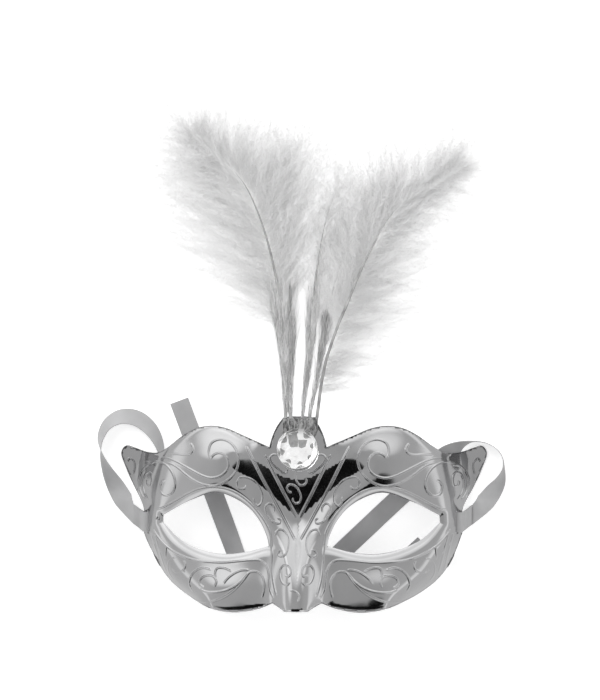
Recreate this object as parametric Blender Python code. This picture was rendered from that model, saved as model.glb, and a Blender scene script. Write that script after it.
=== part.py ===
"""A venetian half mask lying face up: a metallised plastic shell, a glued rhinestone, five feathers
and two ribbons looped through slots. Metres, +Z up, +X to the viewer's right, +Y towards the brow."""

import math

import bmesh
import bpy
import numpy as np
from mathutils import Vector
from mathutils.geometry import delaunay_2d_cdt

MM = 0.001

# Driving dimensions, in millimetres. Mask coordinates: x from the middle, v up from the eye line, z up from
# the table.
EYE_LINE_Y = -79.9  # the eye line's place in the part's frame
HALF_WIDTH = 91.0
SHELL_THICKNESS = 1.2
FRONT_HEIGHT = 48.9  # the glabella above the table
WRAP_RADIUS = 108.0  # the round of the face from temple to temple
WRAP_END = 80.0  # the wrap levels out here, so the winged tips flare
WRAP_SOFTNESS = 3.0
FOLD_CENTRE = (40.0, 0.0)  # the side wall drops where this half ellipse runs
FOLD_HALF_WIDTH = 37.5
FOLD_BELOW, FOLD_ABOVE = 40.0, 72.0
FOLD_SOFTNESS = 2.4
WALL_AT_SLOT, WALL_AT_CHEEK = 12.0, 36.0
FOREHEAD_START = 14.0
TAB_TILT = math.radians(8.0)  # the forehead and the tab slope back by this
NOSE_LIFT = 15.0
BRIDGE_SLOPE = 0.32  # how steeply the forehead steps down to the bridge between the eyes
STEP_TOP, STEP_LOW = 22.2, 1.0  # where that step starts and ends on the middle line
SWELLS = [  # on each half: rise, middle (x, v), reach sideways, reach below the middle, reach above it
    (4.0, (43, 31), 25, 16, 11),  # brow
    (3.6, (38, -33), 26, 16, 9.5),  # cheek
    (-4.5, (41, 1), 27, 14, 14),  # eye socket
]
RIM_ROLL, RIM_WIDTH = 0.8, 3.0
LID_ROLL, LID_WIDTH = 2.0, 5.0

SLOT_INNER, SLOT_OUTER = 76.3, 77.3
SLOT_HALF_LENGTH = 6.0
RIM_AT_SLOT = 79.2
PINHOLE = (-71.2, 2)  # a moulding vent beside the left eye's outer corner
PINHOLE_RADIUS = 0.6

GEM_V = 36.2
GEM_RADIUS, GEM_HEIGHT = 10.0, 4.8
SEAT_FLAT, SEAT_FADE = 16.5, 24.0
GAP = 0.3  # clearance that bonded faces keep in this model
QUILL_RADIUS = 0.8
QUILL_LEVEL = GAP + QUILL_RADIUS
PAD_TOP = 2.7
FOIL_THICKNESS = 0.3
PLUME_THICKNESS = 0.5

RIBBON_WIDTH, RIBBON_THICKNESS = 9.6, 0.4
LOOP_WIDTH = 10.0  # the ribbon wraps the bar askew, so it is wider along the bar
LOOP_RADIUS = 2.65  # middle of the ribbon round the bar
LOOP_REACH = 6.2
LOOP_LAYER = 0.65  # each layer of the glued tab from its middle
LOOP_SKEW = 0.75
TIE_GAP = 0.35

COARSE, FINE = 3.8, 1.9  # spacing of the shell's points, and near the side wall
EDGE_STEP = 2.2
QUILL_STEP, TIE_STEP = 7.0, 4.0

SILVER = (0.78, 0.78, 0.79)
CLEAR = (0.93, 0.94, 0.96)
MIRROR = (0.85, 0.86, 0.88)
GLUE = (0.62, 0.62, 0.60)
SHAFT = (0.72, 0.71, 0.69)
DOWN = (0.90, 0.90, 0.90)
RIBBON = (0.63, 0.63, 0.64)


# ---------------------------------------------------------------- curves

def smooth_stretch(points, step):
    """Points about step apart on a centripetal Catmull-Rom curve through the given ones. Values after the
    third are carried along and don't count as distance."""
    p = [np.array(q, float) for q in points]
    p = [2 * p[0] - p[1], *p, 2 * p[-1] - p[-2]]
    out = []
    for a, b, c, d in zip(p, p[1:], p[2:], p[3:]):
        pieces = max(1, round(span(b, c) / step))
        knots = [0.0]
        for start, end in ((a, b), (b, c), (c, d)):
            knots.append(knots[-1] + span(start, end) ** 0.5)
        for i in range(pieces):
            t = knots[1] + (knots[2] - knots[1]) * i / pieces
            out.append(catmull_rom(a, b, c, d, knots, t))
    out.append(p[-2])
    return out


def span(start, end):
    return max(float(np.linalg.norm((end - start)[:3])), 1e-6)


def catmull_rom(a, b, c, d, knots, t):
    """The Barry-Goldman form of a Catmull-Rom span from b to c."""
    def between(p, q, i, j):
        return p + (q - p) * ((t - knots[i]) / (knots[j] - knots[i]))

    ab, bc, cd = between(a, b, 0, 1), between(b, c, 1, 2), between(c, d, 2, 3)
    return between(between(ab, bc, 0, 2), between(bc, cd, 1, 3), 1, 2)


def half_outline():
    """The right half of the shell's edge, from the tab's top to the nose's bottom, as smooth stretches."""
    return [
        [(0, 52.6), (4, 52.6), (7.4, 51.9)],
        [(7.4, 51.9), (10.4, 47.6), (12.6, 42.6), (14, 37.5)],
        [(14, 37.5), (27, 43.2), (36, 46.9), (43.8, 48), (51, 46.8), (58, 43.2), (65, 38), (71, 34.6),
         (78, 34.4), (84.5, 36.6), (88.6, 37.6), (HALF_WIDTH, 34.5), (88.4, 26), (84.6, 17.5), (81.2, 11),
         (79.7, 7.6), (RIM_AT_SLOT, 5.5)],
        [(RIM_AT_SLOT, 5.5), (RIM_AT_SLOT, -5.5)],
        [(RIM_AT_SLOT, -5.5), (76.4, -13), (72.6, -21), (67.4, -28), (60, -34), (52, -38.4), (44, -41.6),
         (36, -43.3), (28, -43.4), (19, -41.6), (12.2, -38.6)],
        [(12.2, -38.6), (8.6, -40.6), (6, -42.4)],
        [(6, -42.4), (0, -42.6)],
    ]


def eye_outline():
    """The right eye hole, closed, with a corner at the nose and a short blunt edge at the temple."""
    return [
        [(14.4, -10.8), (15.2, -7), (18.6, 0.6), (24, 7.4), (31.4, 12.4), (41, 15.2), (54, 11.2), (68.6, 3.6)],
        [(68.6, 3.6), (68.8, 0)],
        [(68.8, 0), (60, -8), (50, -12.6), (38, -14.9), (26, -13.9), (14.4, -10.8)],
    ]


def joined(stretches, step):
    """Stretches end to end as one list of points, each shared corner once."""
    out = []
    for stretch in stretches:
        out += smooth_stretch(stretch, step)[:-1]
    return out


def mirrored(points):
    return [np.array([-p[0], p[1]]) for p in reversed(points)]


def shell_outline(step):
    right = joined(half_outline(), step)
    bottom = [np.array(half_outline()[-1][-1], float)]
    return right + bottom + mirrored(right[1:])


def slot_outline():
    top, across = SLOT_HALF_LENGTH, [SLOT_INNER, SLOT_OUTER]
    steps = np.linspace(-top, top, 6)
    return [np.array([across[0], v]) for v in steps] + [np.array([across[1], v]) for v in steps[::-1]]


def circle(centre, radius, count):
    turns = [2 * math.pi * i / count for i in range(count)]
    return [np.array([centre[0] + radius * math.cos(t), centre[1] + radius * math.sin(t)]) for t in turns]


def distance_to(loop, points):
    """Distance from each point to a closed loop of points."""
    start = np.array(loop)
    step = np.roll(start, -1, axis=0) - start
    offset = points[:, None] - start
    along = np.clip((offset * step).sum(2) / (step * step).sum(1), 0, 1)
    return np.linalg.norm(offset - along[..., None] * step, axis=2).min(1)


def inside(loop, points):
    """Whether each point is inside a closed loop, by counting crossings."""
    x, v = points[:, 0], points[:, 1]
    odd = np.zeros(len(points), bool)
    for a, b in zip(loop, [*loop[1:], loop[0]]):
        if a[1] == b[1]:
            continue
        crosses = (a[1] > v) != (b[1] > v)
        odd ^= crosses & (x < a[0] + (v - a[1]) * (b[0] - a[0]) / (b[1] - a[1]))
    return odd


# ---------------------------------------------------------------- the face's shape

def ease(t):
    t = np.clip(t, 0, 1)
    return t * t * (3 - 2 * t)


def softplus(t, softness):
    return softness * np.logaddexp(0, t / softness)


def mound(ax, v, middle, wide, below, above):
    """A smooth swell: 1 at its middle, fading out over its reaches."""
    tall = np.where(v < middle[1], below, above)
    return np.exp(-(((ax - middle[0]) / wide) ** 2) - ((v - middle[1]) / tall) ** 2)


def fold_distance(ax, v):
    """How far outside the side wall's fold line a point is, in plan."""
    tall = np.where(v < FOLD_CENTRE[1], FOLD_BELOW, FOLD_ABOVE)
    ring = np.hypot((ax - FOLD_CENTRE[0]) / FOLD_HALF_WIDTH, (v - FOLD_CENTRE[1]) / tall)
    return (ring - 1) * FOLD_HALF_WIDTH


def side_wall(ax, v):
    depth = WALL_AT_SLOT + (WALL_AT_CHEEK - WALL_AT_SLOT) * ease((-v - 6.5) / 14)
    drop = 1 / (1 + np.exp(-fold_distance(ax, v) / FOLD_SOFTNESS))
    return depth * drop * ease((ax - 42) / 18)


def nose(ax, v):
    width = 7 + 4.5 * ease((10 - v) / 50)
    return NOSE_LIFT * ease((14 - v) / 62) * np.exp(-((ax / width) ** 2.4))


def bridge_step(ax, v):
    """How far the bridge lies under the forehead: it falls between two lines, then rises slowly below them."""
    top = STEP_TOP + 15 * (1 - np.exp(-((ax / 22) ** 2)))
    low = STEP_LOW + 44 * (1 - np.exp(-ax / 36))
    depth = BRIDGE_SLOPE * (top - low) * (1 - ease((ax - 26) / 14))
    fallen = np.clip((top - v) / (top - low), 0, 1)
    rise_length = 12 + 22 * np.exp(-((ax / 9) ** 2))
    return depth * fallen * (1 - ease((low - v) / rise_length))


def seat_height(v):
    """The tab's plane, which the rhinestone and the quills are glued to."""
    return FRONT_HEIGHT - 1.4 - (v - 24) * math.tan(TAB_TILT)


def face_height(points, outline, eye):
    """Height of the shell's front face over points (x, v)."""
    x, v = points[:, 0], points[:, 1]
    ax = np.abs(x)
    reach = WRAP_END - softplus(WRAP_END - ax, WRAP_SOFTNESS)
    wrap = WRAP_RADIUS - np.sqrt(WRAP_RADIUS**2 - reach**2)
    height = FRONT_HEIGHT - wrap - side_wall(ax, v) + nose(ax, v)
    height -= math.tan(TAB_TILT) * softplus(v - FOREHEAD_START, 4)
    for rise, *swell in SWELLS:
        height += rise * mound(ax, v, *swell)
    folded = np.column_stack([ax, v])
    height -= LID_ROLL * np.clip(1 - distance_to(eye, folded) / LID_WIDTH, 0, 1) ** 2
    flat = 1 - ease((np.hypot(x, v - GEM_V) - SEAT_FLAT) / (SEAT_FADE - SEAT_FLAT))
    roll = RIM_ROLL * np.clip(1 - distance_to(outline, points) / RIM_WIDTH, 0, 1) ** 2
    height -= roll * (1 - flat) * (ax < 74)
    height = height * (1 - flat) + seat_height(v) * flat - bridge_step(ax, v)
    return np.maximum(height, SHELL_THICKNESS)  # the tips and the lowest rims lie flat on the table


def face_normals(points, outline, eye):
    step = 0.2
    slopes = []
    for shift in ((step, 0), (0, step)):
        rise = face_height(points + shift, outline, eye) - face_height(points - np.array(shift), outline, eye)
        slopes.append(-rise / (2 * step))
    normals = np.column_stack([*slopes, np.ones(len(points))])
    return normals / np.linalg.norm(normals, axis=1)[:, None]


# ---------------------------------------------------------------- Blender helpers

def make_material(name, colour, roughness, metallic=0.0, transmission=0.0):
    material = bpy.data.materials.new(name)
    material.use_nodes = True
    shader = material.node_tree.nodes["Principled BSDF"]
    shader.inputs["Base Color"].default_value = (*colour, 1)
    shader.inputs["Roughness"].default_value = roughness
    shader.inputs["Metallic"].default_value = metallic
    shader.inputs["Transmission Weight"].default_value = transmission
    material.diffuse_color = (*colour, 1)
    return material


def add_empty(name, location=(0, 0, 0), tilt=0.0, parent=None):
    empty = bpy.data.objects.new(name, None)
    bpy.context.scene.collection.objects.link(empty)
    empty.location = [c * MM for c in location]
    empty.rotation_euler.x = tilt
    empty.parent = parent
    return empty


def add_object(name, bm, material, parent, smooth_angle=None):
    """Links bm as an object; its coordinates are millimetres in the parent's axes."""
    bmesh.ops.scale(bm, vec=(MM, MM, MM), verts=bm.verts)
    bmesh.ops.recalc_face_normals(bm, faces=bm.faces)
    mesh = bpy.data.meshes.new(name)
    bm.to_mesh(mesh)
    bm.free()
    if smooth_angle is not None:
        mesh.shade_smooth()
        mesh.set_sharp_from_angle(angle=math.radians(smooth_angle))
    mesh.materials.append(material)
    obj = bpy.data.objects.new(name, mesh)
    bpy.context.scene.collection.objects.link(obj)
    obj.parent = parent
    return obj


def prism(bm, points, low, high, axis="Z"):
    """A closed outline of points extruded from low to high."""
    rings = []
    for level in (low, high):
        place = (lambda p: (p[0], p[1], level)) if axis == "Z" else (lambda p: (p[0], level, p[1]))
        rings.append([bm.verts.new(place(p)) for p in points])
    bm.faces.new(rings[0][::-1])
    bm.faces.new(rings[1])
    count = len(points)
    for i in range(count):
        j = (i + 1) % count
        bm.faces.new([rings[0][i], rings[0][j], rings[1][j], rings[1][i]])


def loft(bm, sections, twisted=False):
    """Closed cross-sections of equal count joined in order, with both ends filled. A twisted strip's two wide
    faces are split along matching diagonals, so its thickness holds."""
    rings = [[bm.verts.new(tuple(p)) for p in section] for section in sections]
    count = len(sections[0])
    for low, high in zip(rings, rings[1:]):
        for i in range(count):
            j = (i + 1) % count
            if not twisted:
                bm.faces.new([low[i], low[j], high[j], high[i]])
            elif i < count / 2:
                bm.faces.new([low[i], low[j], high[j]])
                bm.faces.new([low[i], high[j], high[i]])
            else:
                bm.faces.new([low[i], low[j], high[i]])
                bm.faces.new([low[j], high[j], high[i]])
    bm.faces.new(rings[0][::-1])
    bm.faces.new(rings[-1])


# ---------------------------------------------------------------- shell

def hex_points(spacing):
    rows = np.arange(-46, 56, spacing * math.sqrt(3) / 2)
    found = []
    for i, v in enumerate(rows):
        start = -HALF_WIDTH - 1 + (i % 2) * spacing / 2
        found += [(x, v) for x in np.arange(start, HALF_WIDTH + 1, spacing)]
    return np.array(found)


def surface_points(outline, holes):
    """Points inside the shell's edge, closer together near the side wall, clear of every edge."""
    kept = []
    for spacing in (COARSE, FINE):
        points = hex_points(spacing)
        ax = np.abs(points[:, 0])
        near_wall = (np.abs(fold_distance(ax, points[:, 1])) < 7) & (ax > 48)
        take = near_wall if spacing == FINE else ~near_wall
        take &= inside(outline, points) & (distance_to(outline, points) > 0.55 * spacing)
        for hole in holes:
            take &= ~inside(hole, points) & (distance_to(hole, points) > 0.55 * spacing)
        kept.append(points[take])
    return np.vstack(kept)


def build_shell(material, parent):
    outline = shell_outline(EDGE_STEP)
    eye = joined(eye_outline(), EDGE_STEP)
    slot = slot_outline()
    holes = [eye, mirrored(eye), slot, mirrored(slot), circle(PINHOLE, PINHOLE_RADIUS, 8)]
    loops = [outline, *holes]
    inner = surface_points(outline, holes)
    points = np.vstack([*loops, inner])
    edges, first = [], 0
    for loop in loops:
        count = len(loop)
        edges += [(first + i, first + (i + 1) % count) for i in range(count)]
        first += count
    made, _, faces, *_ = delaunay_2d_cdt([Vector(p) for p in points], edges, [], 0, 1e-6)
    plan = np.array([tuple(p) for p in made])
    centres = np.array([plan[list(f)].mean(0) for f in faces])
    solid = inside(outline, centres)
    for hole in holes:
        solid &= ~inside(hole, centres)
    front = np.column_stack([plan, face_height(plan, outline, eye)])
    back = front - SHELL_THICKNESS * face_normals(plan, outline, eye)
    back[:, 2] = np.maximum(back[:, 2], 0)
    bm = bmesh.new()
    tops, unders = ([bm.verts.new(p) for p in side] for side in (front, back))
    for face, kept in zip(faces, solid):
        if kept:
            bm.faces.new([tops[i] for i in face])
            bm.faces.new([unders[i] for i in reversed(face)])
    rims = [edge for edge in bm.edges if len(edge.link_faces) == 1]
    under = dict(zip(tops, unders))
    for edge in rims:
        a, b = edge.verts
        if a in under:
            bm.faces.new([a, b, under[b], under[a]])
    bmesh.ops.delete(bm, geom=[v for v in bm.verts if not v.link_faces], context="VERTS")
    return add_object("mask_shell", bm, material, parent, smooth_angle=50)


# ---------------------------------------------------------------- rhinestone and glue

def build_gem(material, parent):
    """A flat-backed stone: table, star ring and a girdle of twice as many points."""
    bm = bmesh.new()
    base = PAD_TOP + FOIL_THICKNESS + 2 * GAP
    rings = [(GEM_RADIUS - 0.4, 0, 24, 0), (GEM_RADIUS, 0.9, 24, 0), (7.3, 3.7, 12, 0.5),
             (4.9, GEM_HEIGHT, 12, 0)]
    for radius, height, count, turn in rings:
        for i in range(count):
            angle = 2 * math.pi * (i + turn) / count
            bm.verts.new((radius * math.cos(angle), radius * math.sin(angle), base + height))
    hull = bmesh.ops.convex_hull(bm, input=bm.verts)
    bmesh.ops.delete(bm, geom=list({*hull["geom_interior"], *hull["geom_unused"]}), context="VERTS")
    return add_object("gem", bm, material, parent)


def build_foil(material, parent):
    bm = bmesh.new()
    low = PAD_TOP + GAP
    prism(bm, circle((0, 0), GEM_RADIUS - 0.4, 48), low, low + FOIL_THICKNESS)
    return add_object("gem_foil", bm, material, parent)


def build_pad(material, parent, quills):
    """Hot glue under the stone and up to the tab's top, grooved where the quills lie in it."""
    bm = bmesh.new()
    side = [(8.2, 0), (9.2, 6), (10.2, 9.5), (8.6, 13.2), (4, 14.4), (-3, 14.4), (-7.8, 13.4), (-9, 9.5),
            (-8.6, 6)]
    bottom = [(8.2 * math.cos(t), 8.2 * math.sin(t)) for t in np.linspace(math.pi, 2 * math.pi, 17)[:-1]]
    prism(bm, side + bottom, GAP, PAD_TOP)
    pad = add_object("glue_pad", bm, material, parent)
    for name, line in quills.items():
        cutter_bm = bmesh.new()
        ends = [np.array(line[0]), np.array(line[1])]
        run = (ends[1] - ends[0]) / np.linalg.norm(ends[1] - ends[0])
        loft(cutter_bm, [ring_round(ends[0] - run * GAP, run, QUILL_RADIUS + GAP, 12),
                         ring_round(ends[1] + run * 8, run, QUILL_RADIUS + GAP, 12)])
        cutter = add_object("groove_" + name, cutter_bm, material, parent)
        cutter.hide_render = True
        cutter.display_type = "WIRE"
        groove = pad.modifiers.new(name, "BOOLEAN")
        groove.operation = "DIFFERENCE"
        groove.object = cutter
    return pad


# ---------------------------------------------------------------- feathers

def feather_lines():
    """Each feather's shaft from its root in the glue to its tip, as (x, s, level): s runs up the tab's plane
    from the stone's middle, and level is the height over the tab, which keeps the plumes apart."""
    root = QUILL_LEVEL
    return {
        "left_outer": [(-6.4, 5, root), (-6.2, 17, root), (-6.6, 35, 4), (-8.2, 60, 7.5), (-10.8, 83, 8.5),
                       (-15.6, 103, 9), (-21, 118.5, 9), (-27.6, 131.5, 8.5), (-39.8, 145, 7.5),
                       (-52.6, 157, 6.5), (-61, 167.4, 5.5)],
        "left_inner": [(-3.6, 5, root), (-3.8, 17, root), (-4, 35, 1.8), (-4, 60, 2), (-4.6, 84, 2),
                       (-6.4, 108, 2), (-7.6, 130, 2), (-6.4, 150, 1.6), (-3, 165, 1)],
        "middle": [(1.6, 5, root), (2.2, 17, root), (3.6, 30, 2.6), (5.4, 46, 4.6), (6.6, 66, 5),
                   (9, 90, 5), (13.2, 114, 4.6), (20, 134, 4), (29, 150, 3.4)],
        "right_inner": [(5, 5, root), (5.8, 17, root), (8.4, 31, 0), (11, 48, -1), (14.4, 70, -1),
                        (20, 92, -1.2), (28, 112, -1.6), (38.6, 129, -2), (51, 142, -2.4)],
        "right_outer": [(8.2, 8, root), (9.4, 17, root), (13, 40, 6), (19.4, 60, 8), (24, 71, 8.6),
                        (30.4, 87, 9), (36, 99, 9), (46.4, 116.5, 8.8), (55, 124.5, 8.4), (66, 131.4, 7.6),
                        (80, 139.6, 6.6), (88.4, 146.6, 6)],
    }


PLUMES = {  # where the plume starts along the shaft, and its width to the left and to the right
    "left_outer": (0.34, 26, 13),
    "left_inner": (0.38, 12, 20),
    "middle": (0.42, 9, 12),
    "right_inner": (0.40, 12, 13),
    "right_outer": (0.30, 13, 24),
}


def ring_round(centre, run, radius, count):
    """A circle of points about a line, first point up."""
    across = np.cross(run, (0, 0, 1))
    across /= np.linalg.norm(across)
    up = np.cross(across, run)
    turns = [2 * math.pi * i / count for i in range(count)]
    return [centre + radius * (up * math.cos(t) + across * math.sin(t)) for t in turns]


def directions(line):
    runs = np.gradient(np.array(line), axis=0)
    return runs / np.linalg.norm(runs, axis=1)[:, None]


def build_quill(name, line, material, parent):
    bm = bmesh.new()
    sections = []
    for i, (centre, run) in enumerate(zip(line, directions(line))):
        share = i / (len(line) - 1)
        radius = QUILL_RADIUS * (1 - 0.72 * share)
        sections.append(ring_round(np.array(centre), run, radius, 6))
    loft(bm, sections)
    return add_object("quill_" + name, bm, material, parent, smooth_angle=60)


def plume_width(share):
    """The plume's outline from 0 at its ends to 1 at its widest."""
    return 0.10 + 0.90 * math.sin(math.pi * share**0.8) ** 0.8


def build_plume(name, line, material, parent):
    """The downy vane as a thin leaf just under its shaft."""
    start, left, right = PLUMES[name]
    first = int(start * (len(line) - 1))
    stations = list(range(first, len(line), 2))
    if stations[-1] != len(line) - 1:
        stations.append(len(line) - 1)
    runs = directions(line)
    under = QUILL_RADIUS + GAP
    sections = []
    for i in stations:
        share = (i - first) / (len(line) - 1 - first)
        across = np.array([runs[i][1], -runs[i][0], 0])
        across /= np.linalg.norm(across)
        width = plume_width(share)
        centre = np.array(line[i])
        top_left, top_right = (centre - across * left * width, centre + across * right * width)
        low, high = -under - PLUME_THICKNESS, -under
        sections.append([top_left + (0, 0, low), top_right + (0, 0, low), top_right + (0, 0, high),
                         centre + (0, 0, high), top_left + (0, 0, high)])
    bm = bmesh.new()
    loft(bm, sections)
    return add_object("plume_" + name, bm, material, parent, smooth_angle=40)


# ---------------------------------------------------------------- ribbons

def bar_centre():
    """Middle of the bar between the slot and the shell's edge, as (x, z), and its half diagonal."""
    outline, eye = shell_outline(EDGE_STEP), joined(eye_outline(), EDGE_STEP)
    ends = np.array([(SLOT_OUTER, 0.0), (RIM_AT_SLOT, 0.0)])
    heights = face_height(ends, outline, eye)
    front = np.column_stack([ends[:, 0], heights])
    run = front[1] - front[0]
    length = np.linalg.norm(run)
    inward = np.array([run[1], -run[0]]) / length
    return front.mean(0) + inward * SHELL_THICKNESS / 2


def loop_section():
    """The ribbon's middle line round the bar and along the glued tab, in the plane across the bar."""
    join = math.asin(LOOP_LAYER / LOOP_RADIUS) + 0.35
    turns = np.linspace(join, 2 * math.pi - join, 22)
    arc = [(LOOP_RADIUS * math.cos(t), LOOP_RADIUS * math.sin(t)) for t in turns]
    upper = [(LOOP_REACH, LOOP_LAYER), (LOOP_REACH - 1.4, LOOP_LAYER), (LOOP_REACH - 2.8, LOOP_LAYER + 0.04)]
    return upper + arc + [(p[0], -p[1]) for p in reversed(upper)]


def thickened(line, thickness):
    """A closed outline of that thickness about an open line of points."""
    line = np.array(line)
    runs = directions(line)
    side = np.column_stack([-runs[:, 1], runs[:, 0]]) * thickness / 2
    return [*(line + side), *(line - side)[::-1]]


def skewed(obj_bm, side, centre_x):
    """Leans the tab towards the brow, as a ribbon lies that wraps its bar askew."""
    for vert in obj_bm.verts:
        beyond = abs(vert.co.x) - centre_x - 1.5
        if beyond > 0:
            vert.co.y += LOOP_SKEW * beyond


def build_loop(side, name, material, glue, parent):
    centre = bar_centre()
    section = [(side * (centre[0] + p[0]), centre[1] + p[1])
               for p in thickened(loop_section(), RIBBON_THICKNESS)]
    bm = bmesh.new()
    prism(bm, section, -LOOP_WIDTH / 2, LOOP_WIDTH / 2, axis="Y")
    skewed(bm, side, centre[0])
    add_object(f"ribbon_{name}_loop", bm, material, parent, smooth_angle=40)
    film = LOOP_LAYER - RIBBON_THICKNESS / 2 - GAP
    ends = [centre[0] + LOOP_REACH - 2.6, centre[0] + LOOP_REACH - 0.2]
    corners = [(side * ends[0], centre[1] - film), (side * ends[1], centre[1] - film),
               (side * ends[1], centre[1] + film), (side * ends[0], centre[1] + film)]
    bm = bmesh.new()
    prism(bm, corners, -LOOP_WIDTH / 2 + 1, LOOP_WIDTH / 2 - 1, axis="Y")
    skewed(bm, side, centre[0])
    add_object(f"ribbon_{name}_glue", bm, glue, parent)


def tie_routes():
    """Each ribbon's route from its loop: (x, v, z of its middle, lean). Lean 0 lies flat and 90 stands on edge;
    it turns about the route, and the first entries also carry the askew start of the loop."""
    start = LOOP_REACH + TIE_GAP
    x, z = bar_centre()
    return {
        "left": [(-x - start, 3.7, z, 0),
                 (-88.6, 9.6, z - 0.6, 8), (-93.2, 17, 5.6, 30), (-97.6, 25, 5.0, 62),
                 (-100.6, 33, 4.9, 88), (-101.2, 41, 4.9, 112), (-98, 48, 4.6, 126), (-91.4, 52, 4.2, 138),
                 (-83.6, 51.4, 4.0, 142), (-77.2, 47, 4.2, 134), (-72.8, 40.4, 4.8, 118), (-70.4, 32, 5.2, 100),
                 (-70, 22, 5.3, 92), (-70.6, 10, 5.3, 90), (-71, -2, 5.3, 90), (-69, -13, 5.3, 90),
                 (-63, -23, 5.2, 94), (-54.6, -30.4, 4.9, 106), (-45.6, -34.4, 4.4, 122), (-37.4, -34, 3.9, 134),
                 (-32.2, -29.4, 3.2, 144), (-31.8, -22, 2.4, 154), (-34.6, -14.1, 1.4, 165), (-38, -5, 0.8, 174),
                 (-41.6, 4.6, 0.4, 180), (-45.2, 14.2, 0.4, 180), (-50.8, 29.2, 0.4, 180), (-56.6, 44.8, 0.4, 180),
                 (-62.3, 60, 0.4, 180)],
        "right": [(x + start, 3.7, z, 0), (89.4, 8.6, z - 0.6, -6), (94, 14.4, 5.4, -26), (97.8, 20, 5.0, -54),
                  (99.6, 26.4, 4.9, -82), (98.8, 32.6, 4.9, -88), (95.6, 36.6, 4.9, -88), (90.6, 39.2, 4.9, -88),
                  (84, 39.9, 4.9, -86), (79.4, 38.8, 4.6, -72), (75.4, 36.6, 3.9, -48), (71, 33.4, 2.4, -24),
                  (66, 28.8, 1.3, -10), (59.4, 22.6, 0.9, -3),
                  (52, 16, 0.4, 0), (42, 6.8, 0.4, 0), (31, -3.6, 0.4, 0), (21, -13, 0.9, -3),
                  (13, -20.6, 2.3, -20), (5, -26.6, 4.2, -56), (-3, -29, 5.1, -84), (-8.4, -25, 5.2, -90),
                  (-6.6, -18.6, 5.2, -90), (0, -16.6, 5.2, -88), (9, -19.6, 5.0, -76), (20, -24.4, 4.2, -52),
                  (31.6, -27.6, 2.7, -28), (42, -24.8, 1.4, -10), (53, -17.4, 0.9, -2), (60, -11.2, 0.8, 0)],
    }


def tie_sections(route):
    """Rectangles across the ribbon along its route."""
    line = np.array(smooth_stretch(route, TIE_STEP))
    middle, lean = line[:, :3], np.radians(line[:, 3])
    runs = directions(middle)
    flat = np.column_stack([-runs[:, 1], runs[:, 0], np.zeros(len(runs))])
    flat /= np.linalg.norm(flat, axis=1)[:, None]
    up = np.cross(runs, flat)
    up *= np.sign(up[:, 2:])
    sections = []
    for i in range(len(line)):
        across = flat[i] * math.cos(lean[i]) + up[i] * math.sin(lean[i])
        through = np.cross(runs[i], across)
        half = RIBBON_WIDTH / 2
        if i < 3:  # the loop's askew end, turning to square across the route
            askew = np.array([0, 1, 0]) * np.sign(across[1]) * LOOP_WIDTH / RIBBON_WIDTH
            across = askew * (1 - i / 3) + across * i / 3
        half_through = through * RIBBON_THICKNESS / 2
        sections.append([middle[i] - across * half - half_through, middle[i] + across * half - half_through,
                         middle[i] + across * half + half_through, middle[i] - across * half + half_through])
    return sections


def build_tie(name, route, material, parent):
    bm = bmesh.new()
    loft(bm, tie_sections(route), twisted=True)
    return add_object(f"ribbon_{name}_tie", bm, material, parent, smooth_angle=50)


# ---------------------------------------------------------------- the mask

def main():
    for obj in list(bpy.data.objects):
        bpy.data.objects.remove(obj)
    silver = make_material("silver_plastic", SILVER, 0.12, metallic=1.0)
    clear = make_material("clear_acrylic", CLEAR, 0.03, transmission=1.0)
    mirror = make_material("mirror_foil", MIRROR, 0.08, metallic=1.0)
    glue = make_material("hot_glue", GLUE, 0.35)
    shaft = make_material("quill_shaft", SHAFT, 0.4)
    down = make_material("feather_down", DOWN, 0.9)
    satin = make_material("satin_ribbon", RIBBON, 0.35)

    face = add_empty("face_frame", (0, EYE_LINE_Y, 0))
    seat = add_empty("seat_frame", (0, GEM_V, seat_height(GEM_V)), -TAB_TILT, face)
    build_shell(silver, face)
    lines = {name: smooth_stretch(points, QUILL_STEP) for name, points in feather_lines().items()}
    roots = {name: points[:2] for name, points in feather_lines().items()}
    build_pad(glue, seat, roots)
    build_foil(mirror, seat)
    build_gem(clear, seat)
    for name, line in lines.items():
        build_quill(name, line, shaft, seat)
        build_plume(name, line, down, seat)
    for name, side in (("left", -1), ("right", 1)):
        build_loop(side, name, satin, glue, face)
        build_tie(name, tie_routes()[name], satin, face)


main()
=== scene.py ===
"""Looks of a venetian half mask lying face up: an embossed silver shell, a foil-backed stone, downy feathers
and satin ribbons. Lengths are millimetres until a piece is made; mask coordinates are x from the middle, v up
from the eye line and z up from the table."""

import math

import bmesh
import bpy
import numpy as np
from mathutils import Matrix, Vector, kdtree
from mathutils.geometry import delaunay_2d_cdt


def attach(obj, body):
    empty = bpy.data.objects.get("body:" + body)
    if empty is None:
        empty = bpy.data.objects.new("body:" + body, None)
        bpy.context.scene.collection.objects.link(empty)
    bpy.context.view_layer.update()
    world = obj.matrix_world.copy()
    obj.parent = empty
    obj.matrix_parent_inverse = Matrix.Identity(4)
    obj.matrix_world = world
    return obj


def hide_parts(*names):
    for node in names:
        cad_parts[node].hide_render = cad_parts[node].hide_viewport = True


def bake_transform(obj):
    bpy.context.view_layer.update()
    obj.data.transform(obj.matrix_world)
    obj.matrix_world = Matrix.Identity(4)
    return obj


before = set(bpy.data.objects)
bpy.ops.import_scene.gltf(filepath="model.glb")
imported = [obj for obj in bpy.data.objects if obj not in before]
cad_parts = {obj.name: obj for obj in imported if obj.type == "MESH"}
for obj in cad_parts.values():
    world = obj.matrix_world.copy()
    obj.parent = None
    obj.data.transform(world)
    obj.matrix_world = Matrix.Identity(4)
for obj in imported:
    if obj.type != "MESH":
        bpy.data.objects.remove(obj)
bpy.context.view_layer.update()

MM = 0.001
EYE_LINE_Y = -79.9

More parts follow.
